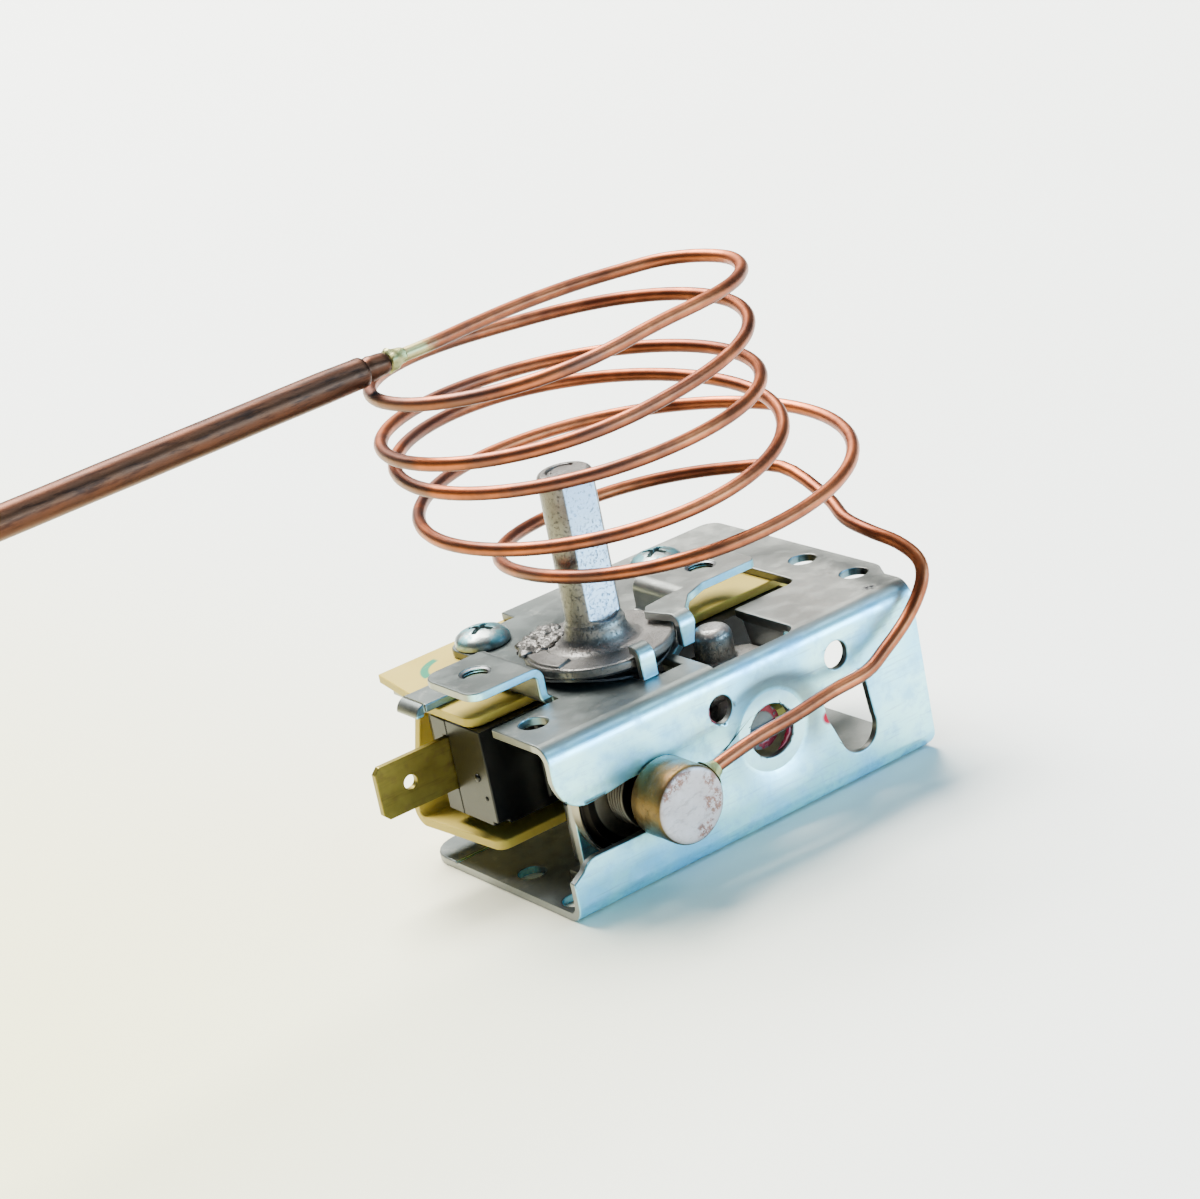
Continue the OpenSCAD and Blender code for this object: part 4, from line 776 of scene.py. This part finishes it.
def add_element(cap_metal, ring_metal, braze):
    """The power element's cap, its bellows and the braze where the capillary leaves the cap."""
    middle = at(ELEMENT[0], 0, ELEMENT[1])
    back = at(ELEMENT[0], 1, ELEMENT[1])
    cap = [(0, CAP_FRONT + 0.12), (2.2, CAP_FRONT + 0.1), (3.3, CAP_FRONT + 0.03), (3.9, CAP_FRONT),
           (4.2, CAP_FRONT + 0.08), (4.42, CAP_FRONT + 0.3), (4.5, CAP_FRONT + 0.6), (4.5, -2.9),
           (4.46, -2.6), (4.5, -2.3), (4.5, -0.45), (4.35, -0.15), (4.1, -0.05), (3, -0.05), (3, 1.6),
           (0, 1.6)]
    turned("cap_shell", cap, middle, back, cap_metal, "chassis", "cap_metal",
           ("element_cap",), steps=64, shaped=roughened(2.5, 0.05))
    pitch = (BELLOWS_TO - BELLOWS_FROM) / BELLOWS_RINGS
    ring = ((3.1, 0.12), (4.1, 0.22), (4.28, 0.35), (4.3, 0.5), (4.28, 0.65), (4.1, 0.78), (3.1, 0.88))
    wall = [(0, BELLOWS_FROM), (3.1, BELLOWS_FROM)]
    for k in range(BELLOWS_RINGS):
        wall += [(r, BELLOWS_FROM + pitch * (k + share)) for r, share in ring]
    wall += [(3.1, BELLOWS_TO), (0, BELLOWS_TO)]
    turned("bellows_rings", wall, middle, back, ring_metal, "chassis", "bellows_metal",
           ("bellows",), steps=64)
    way = Vector((cos(EXIT_ANGLE), 0, sin(EXIT_ANGLE)))
    start = Vector((ELEMENT[0], EXIT_Y, ELEMENT[1]))
    fillet = [(0.86, 4.45), (1.75, 4.46), (1.5, 4.62), (1.2, 4.85), (1.02, 5.2), (0.92, 5.6), (0.86, 5.7),
              (0.86, 4.45)]
    turned("outlet_braze", fillet, at(*start), at(*(start + way)), braze, "chassis", "braze",
           ("cap_braze",), steps=32, shaped=roughened(0.9, 0.12))


def loose_mesh(name, bm, crease=40):
    """The mesh of a hand-built bmesh, with its faces turned outwards and shaded smooth."""
    bmesh.ops.recalc_face_normals(bm, faces=bm.faces[:])
    smooth_with_creases(bm, crease)
    mesh = bpy.data.meshes.new(name)
    bm.to_mesh(mesh)
    bm.free()
    return mesh


def add_gate_crust(casting):
    """The broken gate: rough lumps along the flange's rim, behind the shaft on its left."""
    bm = bmesh.new()
    # Angle in degrees, distance from the shaft axis and radius of each lump
    lumps = [(100 + 6.5 * k, 7.5 + 0.5 * (k % 2), 0.95 + 0.25 * (k % 3)) for k in range(8)]
    lumps += [(112, 5.9, 1.0), (124, 5.6, 0.9), (137, 6.1, 1.0), (150, 6.6, 0.8)]
    for count, (angle, reach, size) in enumerate(lumps):
        made = bmesh.ops.create_icosphere(bm, subdivisions=4, radius=size * MM)["verts"]
        bmesh.ops.scale(bm, vec=(1.25, 1, 0.5), verts=made)
        for v in made:
            rough = noise.noise(v.co * 1500 + Vector((7 * count, 0, 0)))
            fine = noise.noise(v.co * 4200 + Vector((0, 5 * count, 0)))
            v.co *= 1 + 0.45 * rough + 0.16 * fine
        place = Matrix.Translation((reach * MM * cos(radians(angle)), reach * MM * sin(radians(angle)),
                                    CRUST_LEVEL * MM)) @ Matrix.Rotation(radians(angle + 90), 4, "Z")
        bmesh.ops.transform(bm, matrix=place, verts=made)
    add_piece("gate_crust", loose_mesh("gate_crust", bm, 60), casting, "shaft")


def add_thread(name, x, y, metal):
    """Thread crests inside one of the tapped tabs."""
    bm = bmesh.new()
    for k in range(THREAD_TURNS):
        low = THREAD_LOW + THREAD_PITCH * k
        crest = ((THREAD_ROOT_R, 0), (THREAD_CREST_R, 0.4), (THREAD_ROOT_R, 0.8))
        points = [bm.verts.new(at(x + r, y, low + share * THREAD_PITCH)) for r, share in crest]
        edges = [bm.edges.new(pair) for pair in zip(points, points[1:] + points[:1])]
        bmesh.ops.spin(bm, geom=points + edges, cent=at(x, y, low), axis=(0, 0, 1), dvec=(0, 0, 0),
                       angle=2 * pi, steps=40, use_merge=True, use_duplicate=False)
    bmesh.ops.remove_doubles(bm, verts=bm.verts[:], dist=1e-6)
    add_piece(name, loose_mesh(name, bm, 30), metal, "chassis")


def add_smear(name, centre, reach, start, span, thick, seal):
    """A run of lacquer round the inside of a hole in the front plate, thin at both ends."""
    bm = bmesh.new()
    middle = at(*centre)
    ring = bmesh.ops.create_circle(bm, segments=10, radius=thick * MM)["verts"]
    bmesh.ops.transform(bm, matrix=Matrix.Translation(middle + Vector((reach * MM, 0, 0))), verts=ring)
    edges = list({edge for v in ring for edge in v.link_edges})
    bmesh.ops.rotate(bm, cent=middle, matrix=Matrix.Rotation(radians(-start), 3, "Y"), verts=ring)
    bmesh.ops.spin(bm, geom=ring + edges, cent=middle, axis=(0, -1, 0), dvec=(0, 0, 0),
                   angle=radians(span), steps=24, use_merge=False, use_duplicate=False)
    for v in bm.verts:
        away = v.co - middle
        flat = Vector((away.x, 0, away.z))
        on_line = middle + flat.normalized() * reach * MM
        turn = (degrees(atan2(away.z, away.x)) - start) % 360 / span
        swell = max(0.02, sin(pi * min(1, max(0, turn)))) ** 0.6
        v.co = on_line + (v.co - on_line) * swell * (1 + 0.5 * noise.noise(v.co * 1400))
    bmesh.ops.holes_fill(bm, edges=bm.edges[:], sides=12)
    add_piece(name, loose_mesh(name, bm, 60), seal, "chassis")


def add_nubs(housing):
    """Two moulded pips on the switch's end."""
    bm = bmesh.new()
    for y, z, size in NUBS:
        made = bmesh.ops.create_uvsphere(bm, u_segments=24, v_segments=12, radius=size * MM)["verts"]
        bmesh.ops.scale(bm, vec=(0.6, 1, 1), verts=made)
        bmesh.ops.translate(bm, vec=at(NUB_X, y, z), verts=made)
    add_piece("end_nubs", loose_mesh("end_nubs", bm), housing, "chassis")


def flattened_heads(bm):
    """Lowers the screws' domes to the height of the real heads."""
    top = PLATE_TOP * MM
    for v in bm.verts:
        if v.co.z > top:
            v.co.z = top + (v.co.z - top) * HEAD_SQUASH
    return ()


def add_light(name, place, aim, size, power, colour):
    """A rectangular area light turned towards a point."""
    data = bpy.data.lights.new(name, "AREA")
    data.shape = "RECTANGLE"
    data.size, data.size_y = size
    data.energy = power
    data.color = colour
    lamp = bpy.data.objects.new(name, data)
    way = Vector(aim) - Vector(place)
    lamp.matrix_world = Matrix.Translation(place) @ way.to_track_quat("-Z", "Y").to_matrix().to_4x4()
    bpy.context.scene.collection.objects.link(lamp)


def add_studio():
    """Pale paper beneath and behind the object with a painted warm glow to its left and back, a faint sky and
    the area lights.
    """
    world = bpy.data.worlds.new("studio")
    world.use_nodes = True
    sky = next(n for n in world.node_tree.nodes if n.type == "BACKGROUND")
    sky.inputs["Color"].default_value = (*SKY, 1)
    sky.inputs["Strength"].default_value = SKY_STRENGTH
    bpy.context.scene.world = world
    bm = bmesh.new()
    bmesh.ops.create_grid(bm, x_segments=2, y_segments=2, size=FLOOR_HALF)
    mesh = bpy.data.meshes.new("floor")
    bm.to_mesh(mesh)
    bm.free()
    floor_sheet = bpy.data.objects.new("floor", mesh)
    bpy.context.scene.collection.objects.link(floor_sheet)
    paper = Finish("paper_floor")
    cloud = paper.grain(180, 2)
    white = paper.mix(cloud, (0.86, 0.87, 0.82), (0.90, 0.91, 0.87))
    # Painted warm glow on the paper, to the left of and behind the object
    left = paper.between(paper.along("X"), 60 * MM, -90 * MM)
    behind = paper.between(paper.along("Y"), -120 * MM, 20 * MM)
    warm = paper.mix(left * behind, white, (0.90, 0.86, 0.50))
    mesh.materials.append(paper.finish(warm, 0.75 + 0.1 * cloud))
    for light in LIGHTS:
        add_light(*light)


add_camera()
add_studio()

zinc = zinc_plate("zinc_plate")
plain_zinc = zinc_plate("plain_zinc", warm=0.15)
casting = cast_zinc("cast_zinc")
rocker_zinc = cast_zinc("rocker_zinc", 1.7)
copper = drawn_copper("drawn_copper")
bulb_copper = drawn_copper("bulb_copper", 0.9)
housing = black_moulding("black_moulding")
marked_cream = cream_fibre("marked_cream", True)
cream = cream_fibre("cream_fibre")
blade = tarnished_blade("tarnished_blade")
steel = bright_steel("bright_steel")
dark_steel = bright_steel("dark_steel", 0.16, 0.30)
adjuster = lacquered_screw("lacquered_screw")
seal = lacquer("red_lacquer")
screw = locked_screw("locked_screw")
cap_metal = aged_cap("aged_cap")
ring_metal = bellows_metal("bellows_metal")
braze = braze_metal("braze_metal")
silver = contact_silver("contact_silver")
plunger_red = red_plunger("red_plunger")

# Node, finish, body, slot, width of the broken edge, and what else its shape needs
for node, finish, body, slot, width, extra in (
        ("frame", zinc, "chassis", "plated_steel", 0.14, {"shaped": soften_pressing}),
        ("cam_shaft", casting, "shaft", "die_cast", 0.16, {"fade_above": SHAFT_FADE_ABOVE}),
        ("rocker_lever", rocker_zinc, "rocker", "die_cast", 0.25, {}),
        ("switch_front", housing, "chassis", "black_housing", 0.15, {}),
        ("switch_back", housing, "chassis", "black_housing", 0.15, {}),
        ("left_terminal", blade, "chassis", "terminal_metal", 0.08, {}),
        ("right_terminal", blade, "chassis", "terminal_metal", 0.08, {}),
        ("insulator_plate", marked_cream, "chassis", "cream_sheet", 0.12, {}),
        ("switch_wrap", cream, "chassis", "cream_sheet", 0.12, {}),
        ("switch_bracket", plain_zinc, "chassis", "plated_steel", 0.12, {}),
        ("bracket_screws", screw, "chassis", "lock_screw", 0.12, {"shaped": flattened_heads}),
        ("element_clip", plain_zinc, "chassis", "plated_steel", 0.1, {}),
        ("power_lever", steel, "lever", "bright_steel", 0.1, {})):
    rounded_copy(node, finish, body, slot, width, **extra)
add_capillary(copper)
add_bulb(bulb_copper, braze)
add_element(cap_metal, ring_metal, braze)
add_gate_crust(casting)
for name, x, y in THREADS:
    add_thread(name, x, y, dark_steel)
for smear in SMEARS:
    add_smear(*smear, seal)
add_nubs(housing)

for name, material in (("wave_washer", dark_steel), ("follower_pin", steel), ("rocker_pin", steel),
                       ("calibration_screw", adjuster), ("range_spring", dark_steel),
                       ("pivot_post", steel), ("element_disc", ring_metal), ("element_button", steel),
                       ("fixed_contact", silver), ("contact_arm", silver), ("moving_contact", silver),
                       ("switch_plunger", plunger_red), ("switch_rivets", steel)):
    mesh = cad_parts[name].data
    mesh.materials.clear()
    mesh.materials.append(material)
